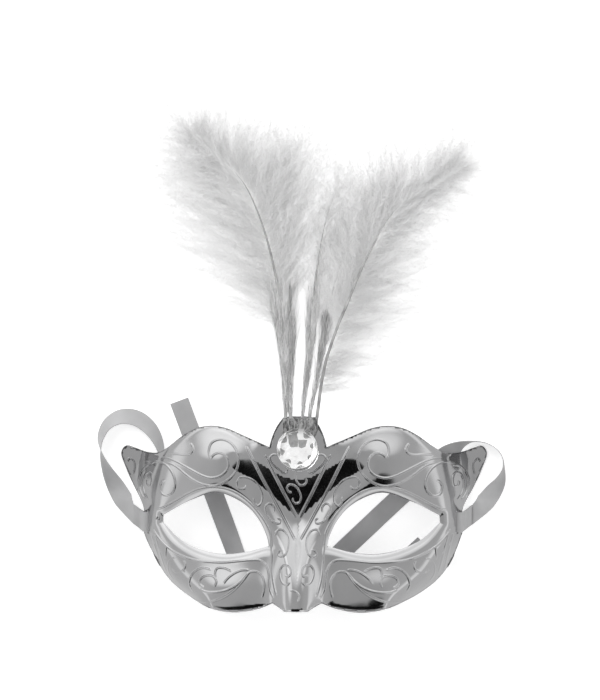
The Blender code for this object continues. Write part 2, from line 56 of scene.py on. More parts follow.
# ---------------------------------------------------------------- the shell's shape, as the frame has it
HALF_WIDTH = 91.0
SHELL_THICKNESS = 1.2
FRONT_HEIGHT = 48.9
WRAP_RADIUS, WRAP_END, WRAP_SOFTNESS = 108.0, 80.0, 3.0
FOLD_CENTRE, FOLD_HALF_WIDTH = (40.0, 0.0), 37.5
FOLD_BELOW, FOLD_ABOVE = 40.0, 72.0
FOLD_SOFTNESS = 2.4
WALL_AT_SLOT, WALL_AT_CHEEK = 12.0, 36.0
FOREHEAD_START = 14.0
TAB_TILT = math.radians(8.0)
NOSE_LIFT = 15.0
RIM_ROLL, RIM_WIDTH = 0.8, 3.0
LID_ROLL, LID_WIDTH = 2.0, 5.0
SLOT_INNER, SLOT_OUTER, SLOT_HALF_LENGTH = 76.3, 77.3, 6.0
RIM_AT_SLOT = 79.2
BRIDGE_SLOPE = 0.32  # how steeply the forehead steps down to the bridge between the eyes
STEP_TOP, STEP_LOW = 22.2, 1.0  # where that step starts and ends on the middle line
SWELLS = [  # on each half: rise, middle (x, v), reach sideways, reach below the middle, reach above it
    (4.0, (43, 31), 25, 16, 11),  # brow
    (3.6, (38, -33), 26, 16, 9.5),  # cheek
    (-4.5, (41, 1), 27, 14, 14),  # eye socket
]
PINHOLE, PINHOLE_RADIUS = (-71.2, 2), 0.6
GEM_V, GEM_RADIUS, GEM_HEIGHT = 36.2, 10.0, 4.8
GEM_CROWN, GEM_TABLE = 9.4, 8.3  # radii of the facets' middle and of the flat top
SEAT_FLAT, SEAT_FADE = 16.5, 24.0
PAD_TOP = 2.7
QUILL_RADIUS = 0.8
QUILL_LEVEL = 0.3 + QUILL_RADIUS

# ---------------------------------------------------------------- ribbons
RIBBON_WIDTH, RIBBON_THICKNESS = 9.5, 0.28
LOOP_WIDTH, LOOP_THICKNESS = 9.9, 0.34
LOOP_RADIUS, LOOP_REACH, LOOP_LAYER, LOOP_SKEW = 2.65, 6.2, 0.65, 0.75
LOOP_OVERLAP = 2.6  # how far its two layers run side by side, with the glue between them
SKEW_START = 1.5  # the skew begins this far from the bar
TIE_GAP, TIE_START_V = 0.35, 3.7  # where each tie starts, beyond its loop and above the eye line
UNSKEW_LENGTH, SINK_LENGTH = 9, 5  # along the lead, for it to lose the loop's skew and its layer's height
BAR_X, BAR_Z = 77.726, 8.867  # the bar each loop turns on
LEAD_LENGTH = 13.0  # the ribbon's stretch between its loop and the tie

# ---------------------------------------------------------------- camera
CAMERA_YAW = math.radians(3.7)
CAMERA_DISTANCE = 3.0
CAMERA_TARGET = (0.0, 0.0054, 0.03)
VIEW_HEIGHT = 0.3451  # metres seen along the picture's long side


def place_camera():
    camera = bpy.data.objects.new("camera", bpy.data.cameras.new("camera"))
    bpy.context.scene.collection.objects.link(camera)
    back = Vector((math.sin(CAMERA_YAW), 0, math.cos(CAMERA_YAW)))
    right, up = Vector((math.cos(CAMERA_YAW), 0, -math.sin(CAMERA_YAW))), Vector((0, 1, 0))
    turn = Matrix((right, up, back)).transposed().to_4x4()
    camera.matrix_world = Matrix.Translation(Vector(CAMERA_TARGET) + back * CAMERA_DISTANCE) @ turn
    camera.data.sensor_width = 36
    camera.data.lens = 36 * CAMERA_DISTANCE / VIEW_HEIGHT
    camera.data.clip_start, camera.data.clip_end = 0.1, 20
    bpy.context.scene.camera = camera


# ---------------------------------------------------------------- curves

def span(start, end):
    return max(float(np.linalg.norm((end - start)[:3])), 1e-6)


def smooth_stretch(points, step):
    """Points about step apart on a centripetal Catmull-Rom curve. Values after the third ride along."""
    p = [np.array(q, float) for q in points]
    p = [2 * p[0] - p[1], *p, 2 * p[-1] - p[-2]]
    out = []
    for a, b, c, d in zip(p, p[1:], p[2:], p[3:]):
        pieces = max(1, round(span(b, c) / step))
        k = [0.0]
        for start, end in ((a, b), (b, c), (c, d)):
            k.append(k[-1] + span(start, end) ** 0.5)
        for i in range(pieces):
            t = k[1] + (k[2] - k[1]) * i / pieces
            ab = a + (b - a) * (t / k[1])
            bc = b + (c - b) * ((t - k[1]) / (k[2] - k[1]))
            cd = c + (d - c) * ((t - k[2]) / (k[3] - k[2]))
            abc = ab + (bc - ab) * (t / k[2])
            bcd = bc + (cd - bc) * ((t - k[1]) / (k[3] - k[1]))
            out.append(abc + (bcd - abc) * ((t - k[1]) / (k[2] - k[1])))
    out.append(p[-2])
    return np.array(out)


def joined(stretches, step):
    return np.vstack([smooth_stretch(s, step)[:-1] for s in stretches])


def mirrored(points):
    return np.column_stack([-points[::-1, 0], points[::-1, 1]])


def directions(line):
    runs = np.gradient(np.asarray(line, float), axis=0)
    return runs / np.maximum(np.linalg.norm(runs, axis=1), 1e-9)[:, None]


def circle(centre, radius, count):
    turns = np.linspace(0, 2 * math.pi, count, endpoint=False)
    return np.column_stack([centre[0] + radius * np.cos(turns), centre[1] + radius * np.sin(turns)])


def inside(loop, points):
    x, v = points[:, 0], points[:, 1]
    odd = np.zeros(len(points), bool)
    for a, b in zip(loop, np.roll(loop, -1, axis=0)):
        if a[1] == b[1]:
            continue
        crosses = (a[1] > v) != (b[1] > v)
        odd ^= crosses & (x < a[0] + (v - a[1]) * (b[0] - a[0]) / (b[1] - a[1]))
    return odd


HALF_OUTLINE = [
    [(0, 52.6), (4, 52.6), (7.4, 51.9)],
    [(7.4, 51.9), (10.4, 47.6), (12.6, 42.6), (14, 37.5)],
    [(14, 37.5), (27, 43.2), (36, 46.9), (43.8, 48), (51, 46.8), (58, 43.2), (65, 38), (71, 34.6),
     (78, 34.4), (84.5, 36.6), (88.6, 37.6), (HALF_WIDTH, 34.5), (88.4, 26), (84.6, 17.5), (81.2, 11),
     (79.7, 7.6), (RIM_AT_SLOT, 5.5)],
    [(RIM_AT_SLOT, 5.5), (RIM_AT_SLOT, -5.5)],
    [(RIM_AT_SLOT, -5.5), (76.4, -13), (72.6, -21), (67.4, -28), (60, -34), (52, -38.4), (44, -41.6),
     (36, -43.3), (28, -43.4), (19, -41.6), (12.2, -38.6)],
    [(12.2, -38.6), (8.6, -40.6), (6, -42.4)],
    [(6, -42.4), (0, -42.6)],
]
EYE_OUTLINE = [
    [(14.4, -10.8), (15.2, -7), (18.6, 0.6), (24, 7.4), (31.4, 12.4), (41, 15.2), (54, 11.2),
     (68.6, 3.6)],
    [(68.6, 3.6), (68.8, 0)],
    [(68.8, 0), (60, -8), (50, -12.6), (38, -14.9), (26, -13.9), (14.4, -10.8)],
]


def shell_outline(step):
    right = joined(HALF_OUTLINE, step)
    return np.vstack([right, [HALF_OUTLINE[-1][-1]], mirrored(right[1:])])


def slot_outline(step):
    rows = np.linspace(-SLOT_HALF_LENGTH, SLOT_HALF_LENGTH, round(2 * SLOT_HALF_LENGTH / step) + 1)
    return np.array([(SLOT_INNER, v) for v in rows] + [(SLOT_OUTER, v) for v in rows[::-1]])


class Nearness:
    """Distance to a set of lines, its direction, and a strength carried along them. On a line itself the
    direction is to its left (side 1) or right (side -1)."""

    def __init__(self, lines, strengths, closed=False, step=0.15, side=1):
        spots, ways, power = [], [], []
        for line, strength in zip(lines, strengths):
            ends = np.roll(line, -1, axis=0) if closed else line[1:]
            starts = line if closed else line[:-1]
            along = np.linspace(0, 1, len(starts), endpoint=False)
            for a, b, t in zip(starts, ends, along):
                length = max(float(np.linalg.norm(b - a)), 1e-6)
                count = max(1, math.ceil(length / step))
                shares = (np.arange(count) + 0.5) / count
                spots.append(a + (b - a) * shares[:, None])
                ways.append(np.repeat([(b - a) / length], count, axis=0))
                place = t + shares / len(starts)
                power.append(strength(place) if callable(strength) else np.full(count, strength))
        self.spots, self.ways, self.power = np.vstack(spots), np.vstack(ways), np.concatenate(power)
        self.reach, self.side = step / 2, side
        self.tree = kdtree.KDTree(len(self.spots))
        for i, spot in enumerate(self.spots):
            self.tree.insert((spot[0], spot[1], 0), i)
        self.tree.balance()

    def __call__(self, points):
        found = np.array([self.tree.find((p[0], p[1], 0))[1] for p in points])
        spot, way = self.spots[found], self.ways[found]
        along = np.clip(((points - spot) * way).sum(1), -self.reach, self.reach)
        away = points - spot - way * along[:, None]
        far = np.linalg.norm(away, axis=1)
        beside = np.column_stack([-way[:, 1], way[:, 0]]) * self.side
        away = np.where((far < 0.03)[:, None], beside, away / np.maximum(far, 1e-9)[:, None])
        return far, away, self.power[found]


# ---------------------------------------------------------------- the shell's height

def ease(t):
    t = np.clip(t, 0, 1)
    return t * t * (3 - 2 * t)


def softplus(t, softness):
    return softness * np.logaddexp(0, t / softness)


def mound(ax, v, middle, wide, below, above):
    """A smooth swell: 1 at its middle, fading out over its reaches."""
    tall = np.where(v < middle[1], below, above)
    return np.exp(-(((ax - middle[0]) / wide) ** 2) - ((v - middle[1]) / tall) ** 2)


def fold_distance(ax, v):
    tall = np.where(v < FOLD_CENTRE[1], FOLD_BELOW, FOLD_ABOVE)
    across, along = (ax - FOLD_CENTRE[0]) / FOLD_HALF_WIDTH, (v - FOLD_CENTRE[1]) / tall
    return (np.hypot(across, along) - 1) * FOLD_HALF_WIDTH


def side_wall(ax, v):
    depth = WALL_AT_SLOT + (WALL_AT_CHEEK - WALL_AT_SLOT) * ease((-v - 6.5) / 14)
    return depth / (1 + np.exp(-fold_distance(ax, v) / FOLD_SOFTNESS)) * ease((ax - 42) / 18)


def nose(ax, v):
    width = 7 + 4.5 * ease((10 - v) / 50)
    return NOSE_LIFT * ease((14 - v) / 62) * np.exp(-((ax / width) ** 2.4))


def bridge_step(ax, v):
    """How far the bridge lies under the forehead: it falls between two lines and rises again below."""
    top = STEP_TOP + 15 * (1 - np.exp(-((ax / 22) ** 2)))
    low = STEP_LOW + 44 * (1 - np.exp(-ax / 36))
    depth = BRIDGE_SLOPE * (top - low) * (1 - ease((ax - 26) / 14))
    fallen = np.clip((top - v) / (top - low), 0, 1)
    rise_length = 12 + 22 * np.exp(-((ax / 9) ** 2))
    return depth * fallen * (1 - ease((low - v) / rise_length))


def seat_height(v):
    return FRONT_HEIGHT - 1.4 - (v - 24) * math.tan(TAB_TILT)


def seat_share(x, v):
    return 1 - ease((np.hypot(x, v - GEM_V) - SEAT_FLAT) / (SEAT_FADE - SEAT_FLAT))


def plain_height(points):
    """The face without what follows its edges."""
    x, v = points[:, 0], points[:, 1]
    ax = np.abs(x)
    reach = WRAP_END - softplus(WRAP_END - ax, WRAP_SOFTNESS)
    wrapped = WRAP_RADIUS - np.sqrt(WRAP_RADIUS**2 - reach**2)
    height = FRONT_HEIGHT - wrapped - side_wall(ax, v) + nose(ax, v)
    height -= math.tan(TAB_TILT) * softplus(v - FOREHEAD_START, 4)
    for rise, *swell in SWELLS:
        height += rise * mound(ax, v, *swell)
    return height


def face(points, edges, scrolls):
    """Height and surface normal of the front at each point: edges roll over, and the scrolls stand up."""
    outline, lids = edges
    x, v = points[:, 0], points[:, 1]
    flat = seat_share(x, v)

    def smooth(p):
        share = seat_share(p[:, 0], p[:, 1])
        raised = plain_height(p) * (1 - share) + seat_height(p[:, 1]) * share
        return raised - bridge_step(np.abs(p[:, 0]), p[:, 1])

    step = 0.1
    slope = np.column_stack([(smooth(points + s) - smooth(points - np.array(s))) / (2 * step)
                             for s in ((step, 0), (0, step))])
    height = smooth(points)
    far, away, _ = outline(points)
    share = np.clip(1 - far / RIM_WIDTH, 0, 1) * (np.abs(x) < 74)
    height -= RIM_ROLL * share**2 * (1 - flat)
    slope += (2 * RIM_ROLL / RIM_WIDTH * share * (1 - flat))[:, None] * away
    far, away, _ = lids(points)
    share = np.clip(1 - far / LID_WIDTH, 0, 1)
    height -= LID_ROLL * share**2 * (1 - flat)
    slope += (2 * LID_ROLL / LID_WIDTH * share * (1 - flat))[:, None] * away
    low = height < SHELL_THICKNESS
    height[low], slope[low] = SHELL_THICKNESS, 0
    if scrolls is not None:
        for lines, half_width, tall in scrolls:
            far, away, power = lines(points)
            turn = np.clip(far / half_width, 0, 1) * math.pi / 2
            height += tall * power * np.cos(turn) ** 2
            slope -= (tall * power * np.sin(2 * turn) * math.pi / 2 / half_width)[:, None] * away
    normal = np.column_stack([-slope, np.ones(len(points))])
    return height, normal / np.linalg.norm(normal, axis=1)[:, None]


# ---------------------------------------------------------------- the raised scrolls, right half

BROAD = {
    "brow_scroll": [(43.4, 31.6), (44.3, 35.8), (43, 39.6), (38.9, 41.4), (34.2, 40.2), (30.9, 36.8),
                    (29.3, 32.2), (30, 27.4), (32.5, 23.3), (36.7, 20.2), (41.9, 18.6), (47.2, 19.2),
                    (52.1, 21.3), (56.6, 24.3), (60.4, 27.3), (64, 29.2), (68, 30)],
    "brow_crescent": [(43.4, 31.6), (41.8, 33.8), (38.9, 34.8), (36, 33.5), (34.4, 30.1), (35.2, 26.4),
                      (38.3, 23.6), (43.1, 22.5), (47.6, 23.6), (52.3, 25.8), (56.9, 28.2), (60.8, 30.2),
                      (65.4, 31.8), (70, 32)],
    "brow_hook": [(54, 39.4), (52.6, 37), (53.4, 34.7), (56.5, 33.7), (61, 33.9), (65.6, 33.6)],
    "temple_spiral": [(76, 28.4), (73, 30), (69, 29.6), (65.4, 27.4), (62.8, 23.6), (61.8, 19.2),
                      (62.9, 15.4), (65.8, 13.4), (68.8, 14.3), (69.8, 17.3), (69, 20), (66.9, 21.3)],
    "fold_scroll": [(78.9, 10.9), (81.5, 15.4), (82.3, 20.7), (80.4, 25.4), (77.6, 28), (74.6, 28.4)],
    "fold_spiral": [(76.9, 10.9), (79.3, 14.9), (79.9, 19.6), (78.2, 24), (75.6, 24.4), (74.7, 21),
                    (75.6, 17.8), (77.4, 18.6), (77.6, 21)],
    "upper_lid": [(73.4, 6.2), (69.7, 6.9), (64.8, 9.2), (59.9, 12), (54.6, 14.9), (49.4, 17), (43.3, 18),
                  (37.3, 17.6), (32, 16), (27.2, 13.2), (22.8, 9.5), (18.9, 5), (15.7, 0.4), (13.6, -4.2),
                  (12.9, -9.5), (12.6, -14.8), (12.4, -20.1), (12, -25.3), (11, -30.6), (9.6, -35.4)],
    "lower_lid": [(74.6, -2.4), (71.8, -6.4), (67.8, -10.6), (62.6, -14.2), (56.9, -16.8), (50.8, -18.3),
                  (43.6, -18.9), (36.5, -19), (29.3, -18.3), (23.3, -17.7), (18.8, -17.8), (15.9, -19.7),
                  (14.3, -23.1), (13.7, -28), (13.1, -32.5), (11.2, -36.4)],
    "side_line": [(75.2, -5), (73.6, -11), (72, -17), (70.6, -22.3), (69.6, -25.4)],
    "side_line_inner": [(73, -5.7), (71.2, -12), (69.6, -18.4), (67.8, -24.6)],
    "cheek_sweep": [(17.6, -36.7), (16.5, -32.9), (16.2, -29.1), (17.4, -25.6), (20.4, -23.4),
                    (23.7, -23.8), (26, -26.8), (29.8, -31), (35, -35), (41, -37.7), (47.1, -38.7),
                    (53.1, -38), (58.6, -35.6), (63.6, -32), (67.2, -27.6)],
    "cheek_sweep_inner": [(24, -23.8), (27.4, -27.6), (31.2, -30.6), (35.7, -32.6), (41, -33.6),
                          (45.5, -33.4), (48.6, -32.2)],
    "cheek_leaf": [(24.4, -22.5), (28.2, -22.9), (32, -24.7), (35, -27.2), (36.6, -29.3)],
    "cheek_arc": [(32.7, -23.3), (36.5, -21.8), (39.9, -21.9), (41, -23.8), (40.7, -26.8)],
    "cheek_spiral": [(43.2, -22.6), (47.4, -21.8), (51.1, -23.4), (53.8, -26.8), (54.4, -30.6),
                     (52.6, -34)],
    "cheek_curl": [(41.3, -31.2), (40.3, -28.4), (41.9, -25.9), (45.5, -25.6), (48.3, -27.2),
                   (48.7, -29.9), (46.6, -31.4)],
}
FINE = {
    "side_curl": [(57.2, -18.4), (56.4, -20.8), (58.1, -23.8), (61.7, -24.5), (63.8, -22.6)],
    "side_curl_outer": [(61.9, -17.2), (65, -18.7), (66.3, -21.9), (65.7, -25.7), (63.6, -28.8)],
    "side_tick": [(66.7, -12.1), (67, -15.1), (67.2, -18.2)],
    "inner_brow_curl": [(25.3, 19.1), (26.5, 17.3), (28.9, 17.3), (30.2, 19.8), (28.6, 22.7),
                        (24.8, 22.6), (21.3, 20.7), (18.9, 17.4), (17.6, 13.6), (18.1, 10.2), (19.9, 8.9),
                        (21.3, 10.4), (22, 13.6)],
    "bridge_curl": [(11.9, 5.5), (11.9, 8.2), (13.8, 10), (15.8, 8.9), (15.9, 6), (14.2, 2.8),
                    (11.4, 0.6), (9.2, 0.2), (8.7, 1.9), (10.1, 3)],
    "nose_curl": [(11.2, -5.6), (9.4, -2.8), (6.8, -3.3), (4.8, -6.4), (4.4, -10.6), (5.2, -14),
                  (7.5, -16), (9.4, -15), (8.5, -12.9), (6.9, -12.7)],
    "nostril_curl": [(5.9, -24.6), (3.9, -25.4), (2.6, -23.5), (3.4, -20.9), (5.9, -19.8), (8, -21.8),
                     (8.1, -25.6), (6.5, -28.8), (4.3, -29.4), (2.9, -27.9)],
    "stone_curl": [(10.2, 34), (12.3, 34), (13.8, 32.3), (12.4, 29.4), (9.4, 26.8), (6.8, 24.9),
                   (5.2, 25.6), (5.6, 27)],
    "tip_curl": [(88, 29.6), (86.9, 31.4), (85, 30.2), (84.4, 27), (85.2, 23.4)],
}
BARS = {"outer_vee": [(25.6, 38.3), (17.8, 22.9), (9.6, 7.6), (1.1, -8.3)],
        "inner_vee": [(16.6, 34.2), (0.7, 3.2)]}
MIDDLE_LINES = [  # scrolls that stand once, near the middle
    [(-0.9, 25.4), (-0.8, 21.9), (0.9, 19.2), (3.2, 19.3), (4.4, 21), (3.8, 22.3)],
    [(-2.9, 15.6), (-4.5, 15.9), (-5.3, 17.8), (-4.1, 19.3), (-1.5, 18.8), (0.5, 16.4), (1.4, 13.3),
     (0.8, 10.7), (-1.2, 10), (-2.5, 11.3), (-2.2, 13)],
    [(-2.4, -32), (0, -32.6), (1.8, -34.8), (1.2, -37.4)],
]


def tapered(share):
    """Full strength along a line, running out at both ends."""
    slow = ease(share / 0.05) * ease((1 - share) / 0.05) * 0.75
    return slow + 0.25 * ease(share / 0.02) * ease((1 - share) / 0.02)


def both_sides(lines, step=0.6):
    made = [smooth_stretch(line, step)[:, :2] for line in lines]
    return made + [line * (-1, 1) for line in made]


def scroll_lines():
    """Each set of raised lines with its half width and height."""
    broad, fine = both_sides(BROAD.values()), both_sides(FINE.values())
    fine += [smooth_stretch(line, 0.4) for line in MIDDLE_LINES]
    bars = both_sides(BARS.values())
    return [(broad, 0.66, 0.6), (fine, 0.54, 0.48), (bars, 0.8, 0.85)]


# ---------------------------------------------------------------- Blender helpers

def link(obj):
    bpy.context.scene.collection.objects.link(obj)
    return obj


def mesh_object(name, verts, faces, materials, smooth=True):
    """A mesh object from vertices in metres."""
    mesh = bpy.data.meshes.new(name)
    mesh.from_pydata([tuple(v) for v in verts], [], faces)
    mesh.validate()
    for material in materials:
        mesh.materials.append(material)
    if smooth:
        mesh.shade_smooth()
    return link(bpy.data.objects.new(name, mesh))


def in_frame(points):
    """Mask coordinates (x, v, z) to metres in the frame."""
    return (np.asarray(points, float) + (0, EYE_LINE_Y, 0)) * MM


class Nodes:
    """A small builder for a Principled material's procedural nodes."""

    def __init__(self, name, **sockets):
        self.material = bpy.data.materials.new(name)
        self.material.use_nodes = True
        self.tree = self.material.node_tree
        self.shader = self.tree.nodes["Principled BSDF"]
        for socket, value in sockets.items():
            self.shader.inputs[socket.replace("_", " ")].default_value = value
        colour = self.shader.inputs["Base Color"].default_value
        self.material.diffuse_color = tuple(colour)

    def add(self, kind, links=(), **values):
        node = self.tree.nodes.new(kind)
        for key, value in values.items():
            if key in node.inputs:
                node.inputs[key].default_value = value
            else:
                setattr(node, key, value)
        for socket, source in links:
            self.tree.links.new(source, node.inputs[socket])
        return node

    def coordinates(self):
        return self.add("ShaderNodeTexCoord").outputs["Object"]

    def noise(self, scale, detail=3.0, roughness=0.5, source=None):
        node = self.add("ShaderNodeTexNoise", [("Vector", source or self.coordinates())])
        node.inputs["Scale"].default_value = scale
        node.inputs["Detail"].default_value = detail
        node.inputs["Roughness"].default_value = roughness
        return node.outputs["Fac"]

    def ramp(self, source, low, high, start=0.3, end=0.7):
        """A value or colour from low to high as source goes from start to end."""
        node = self.add("ShaderNodeValToRGB", [("Fac", source)])
        stops = node.color_ramp.elements
        stops[0].position, stops[1].position = start, end
        for stop, value in zip(stops, (low, high)):
            stop.color = (*value, 1) if isinstance(value, tuple) else (value, value, value, 1)
        return node.outputs["Color"]

    def drive(self, socket, source):
        self.tree.links.new(source, self.shader.inputs[socket])

    def bump(self, source, strength, distance, under=None):
        node = self.add("ShaderNodeBump", [("Height", source)])
        node.inputs["Strength"].default_value = strength
        node.inputs["Distance"].default_value = distance
        if under is not None:
            self.tree.links.new(under, node.inputs["Normal"])
        self.drive("Normal", node.outputs["Normal"])
        return node.outputs["Normal"]


def silver_material():
    n = Nodes("silver", Base_Color=(0.56, 0.56, 0.565, 1), Metallic=1.0, Roughness=0.16)
    n.drive("Base Color", n.ramp(n.noise(45, 4), (0.53, 0.53, 0.535), (0.59, 0.59, 0.595)))
    n.drive("Roughness", n.ramp(n.noise(110, 5, 0.6), 0.08, 0.16))
    n.bump(n.noise(260, 2), 0.08, 0.0001, n.bump(n.noise(1800, 2), 0.08, 0.00004))
    return n.material


def back_material():
    n = Nodes("silver_back", Base_Color=(0.55, 0.55, 0.56, 1), Metallic=0.85, Roughness=0.36)
    n.drive("Base Color", n.ramp(n.noise(60, 4), (0.5, 0.5, 0.51), (0.6, 0.6, 0.61)))
    n.drive("Roughness", n.ramp(n.noise(140, 4), 0.3, 0.44))
    n.bump(n.noise(900, 3), 0.15, 0.0001)
    return n.material


def satin_material():
    n = Nodes("satin", Base_Color=(0.46, 0.46, 0.465, 1), Roughness=0.36, Sheen_Weight=0.25,
              Sheen_Roughness=0.4)
    uv = n.add("ShaderNodeTexCoord").outputs["UV"]
    warp = n.add("ShaderNodeTexWave", [("Vector", uv)], wave_type="BANDS", bands_direction="Y", Scale=1100.0)
    weft = n.add("ShaderNodeTexWave", [("Vector", uv)], wave_type="BANDS", bands_direction="X", Scale=520.0)
    weft.inputs["Distortion"].default_value = 1.5
    cloud = n.noise(70, 4)
    n.drive("Base Color", n.ramp(cloud, (0.42, 0.42, 0.425), (0.51, 0.51, 0.515)))
    n.drive("Roughness", n.ramp(warp.outputs["Fac"], 0.3, 0.45, 0, 1))
    soft = n.bump(cloud, 0.25, 0.0006)
    fine = n.bump(weft.outputs["Fac"], 0.18, 0.00006, soft)
    n.bump(warp.outputs["Fac"], 0.22, 0.00005, fine)
    return n.material


def down_material():
    n = Nodes("down", Base_Color=(0.95, 0.95, 0.95, 1), Roughness=0.9, Sheen_Weight=0.3)
    n.drive("Base Color", n.ramp(n.noise(45, 3), 0.93, 0.99, 0.35, 0.65))
    n.bump(n.noise(2500, 2), 0.1, 0.00002)
    return n.material


def pressed_material():
    n = Nodes("pressed_down", Base_Color=(0.7, 0.7, 0.7, 1), Roughness=0.85)
    along = n.add("ShaderNodeMapping", [("Vector", n.coordinates())])
    along.inputs["Scale"].default_value = (1, 0.09, 1)
    streaks = n.noise(900, 3, 0.6, along.outputs["Vector"])
    n.drive("Base Color", n.ramp(streaks, 0.55, 0.97, 0.38, 0.6))
    n.bump(n.noise(2500, 2), 0.1, 0.00002)
    return n.material


def quill_material():
    n = Nodes("quill", Base_Color=(0.45, 0.45, 0.44, 1), Roughness=0.45, Coat_Weight=0.1)
    n.drive("Base Color", n.ramp(n.noise(160, 4), 0.28, 0.6))
    n.bump(n.noise(700, 3), 0.2, 0.00008)
    return n.material


def glue_material():
    n = Nodes("glue", Base_Color=(0.3, 0.3, 0.3, 1), Roughness=0.5)
    along = n.add("ShaderNodeMapping", [("Vector", n.coordinates())])
    along.inputs["Scale"].default_value = (1, 0.35, 1)
    n.drive("Base Color", n.ramp(n.noise(800, 5, 0.75, along.outputs["Vector"]),
                                 (0.05, 0.05, 0.05), (0.4, 0.4, 0.4), 0.4, 0.6))
    n.bump(n.noise(900, 4, 0.6), 0.6, 0.0003)
    return n.material


def stone_material():
    n = Nodes("stone", Base_Color=(0.99, 0.99, 0.99, 1), Roughness=0.02, Transmission_Weight=1.0, IOR=1.49)
    n.drive("Roughness", n.ramp(n.noise(500, 2), 0.01, 0.03))
    return n.material


def foil_material(name, grey, glow):
    """Mirror foil. Its glow stands for the light that the stone gathers onto it from all round."""
    n = Nodes(name, Base_Color=(grey, grey, grey, 1), Metallic=1.0, Roughness=0.35)
    n.drive("Base Color", n.ramp(n.noise(500, 4, 0.6), 0.75 * grey, grey, 0.35, 0.6))
    n.drive("Roughness", n.ramp(n.noise(700, 3), 0.3, 0.42))
    n.shader.inputs["Emission Color"].default_value = (1, 1, 1, 1)
    n.shader.inputs["Emission Strength"].default_value = glow
    return n.material


# ---------------------------------------------------------------- shell piece

def hex_points(spacing):
    rows = np.arange(-46, 56, spacing * math.sqrt(3) / 2)
    found = []
    for i, v in enumerate(rows):
        xs = np.arange(-HALF_WIDTH - 1 + (i % 2) * spacing / 2, HALF_WIDTH + 1, spacing)
        found.append(np.column_stack([xs, np.full(len(xs), v)]))
    return np.vstack(found)


def wall_refined(spacing, on_wall):
    """Points over the plan, closer together where the side wall is steep."""
    def steep(points):
        ax = np.abs(points[:, 0])
        return (np.abs(fold_distance(ax, points[:, 1])) < 3.4 * FOLD_SOFTNESS) & (ax > 46)

    plain, fine = hex_points(spacing), hex_points(on_wall)
    return np.vstack([plain[~steep(plain)], fine[steep(fine)]])


def rows_beside(lines, half_width):
    """Points in rows along raised lines, close enough across them to carry their round section."""
    found = []
    for line in lines:
        fine = smooth_stretch(np.column_stack([line, np.zeros(len(line))]), 0.42)[:, :2]
        way = directions(fine)
        side = np.column_stack([-way[:, 1], way[:, 0]])
        for share in (0, 0.3, 0.6, 0.9, 1.2):
            for sign in (1, -1) if share else (1,):
                found.append(fine + side * (sign * share * half_width))
    return np.vstack(found)


def thinned(points, cell):
    """At most one point in each cell."""
    _, kept = np.unique(np.round(points / cell).astype(int), axis=0, return_index=True)
    return points[np.sort(kept)]


def triangulated(loops, points):
    """Triangles over the area inside the first loop and outside the others: (plan points, faces)."""
    everything = np.vstack([*loops, points])
    edges, first = [], 0
    for loop in loops:
        edges += [(first + i, first + (i + 1) % len(loop)) for i in range(len(loop))]
        first += len(loop)
    made, _, faces, *_ = delaunay_2d_cdt([Vector(p) for p in everything], edges, [], 0, 1e-6)
    plan = np.array([tuple(p) for p in made])
    faces = np.array([f for f in faces if len(f) == 3])
    centres = plan[faces].mean(1)
    keep = inside(loops[0], centres)
    for hole in loops[1:]:
        keep &= ~inside(hole, centres)
    faces = faces[keep]
    a, b, c = (plan[faces[:, i]] for i in range(3))
    turned = (b[:, 0] - a[:, 0]) * (c[:, 1] - a[:, 1]) - (b[:, 1] - a[:, 1]) * (c[:, 0] - a[:, 0]) < 0
    faces[turned] = faces[turned][:, ::-1]
    return plan, faces


FRONT_GRID, BACK_GRID = (1.1, 0.5), (1.8, 0.6)  # steps between points on the open face and on the steep wall


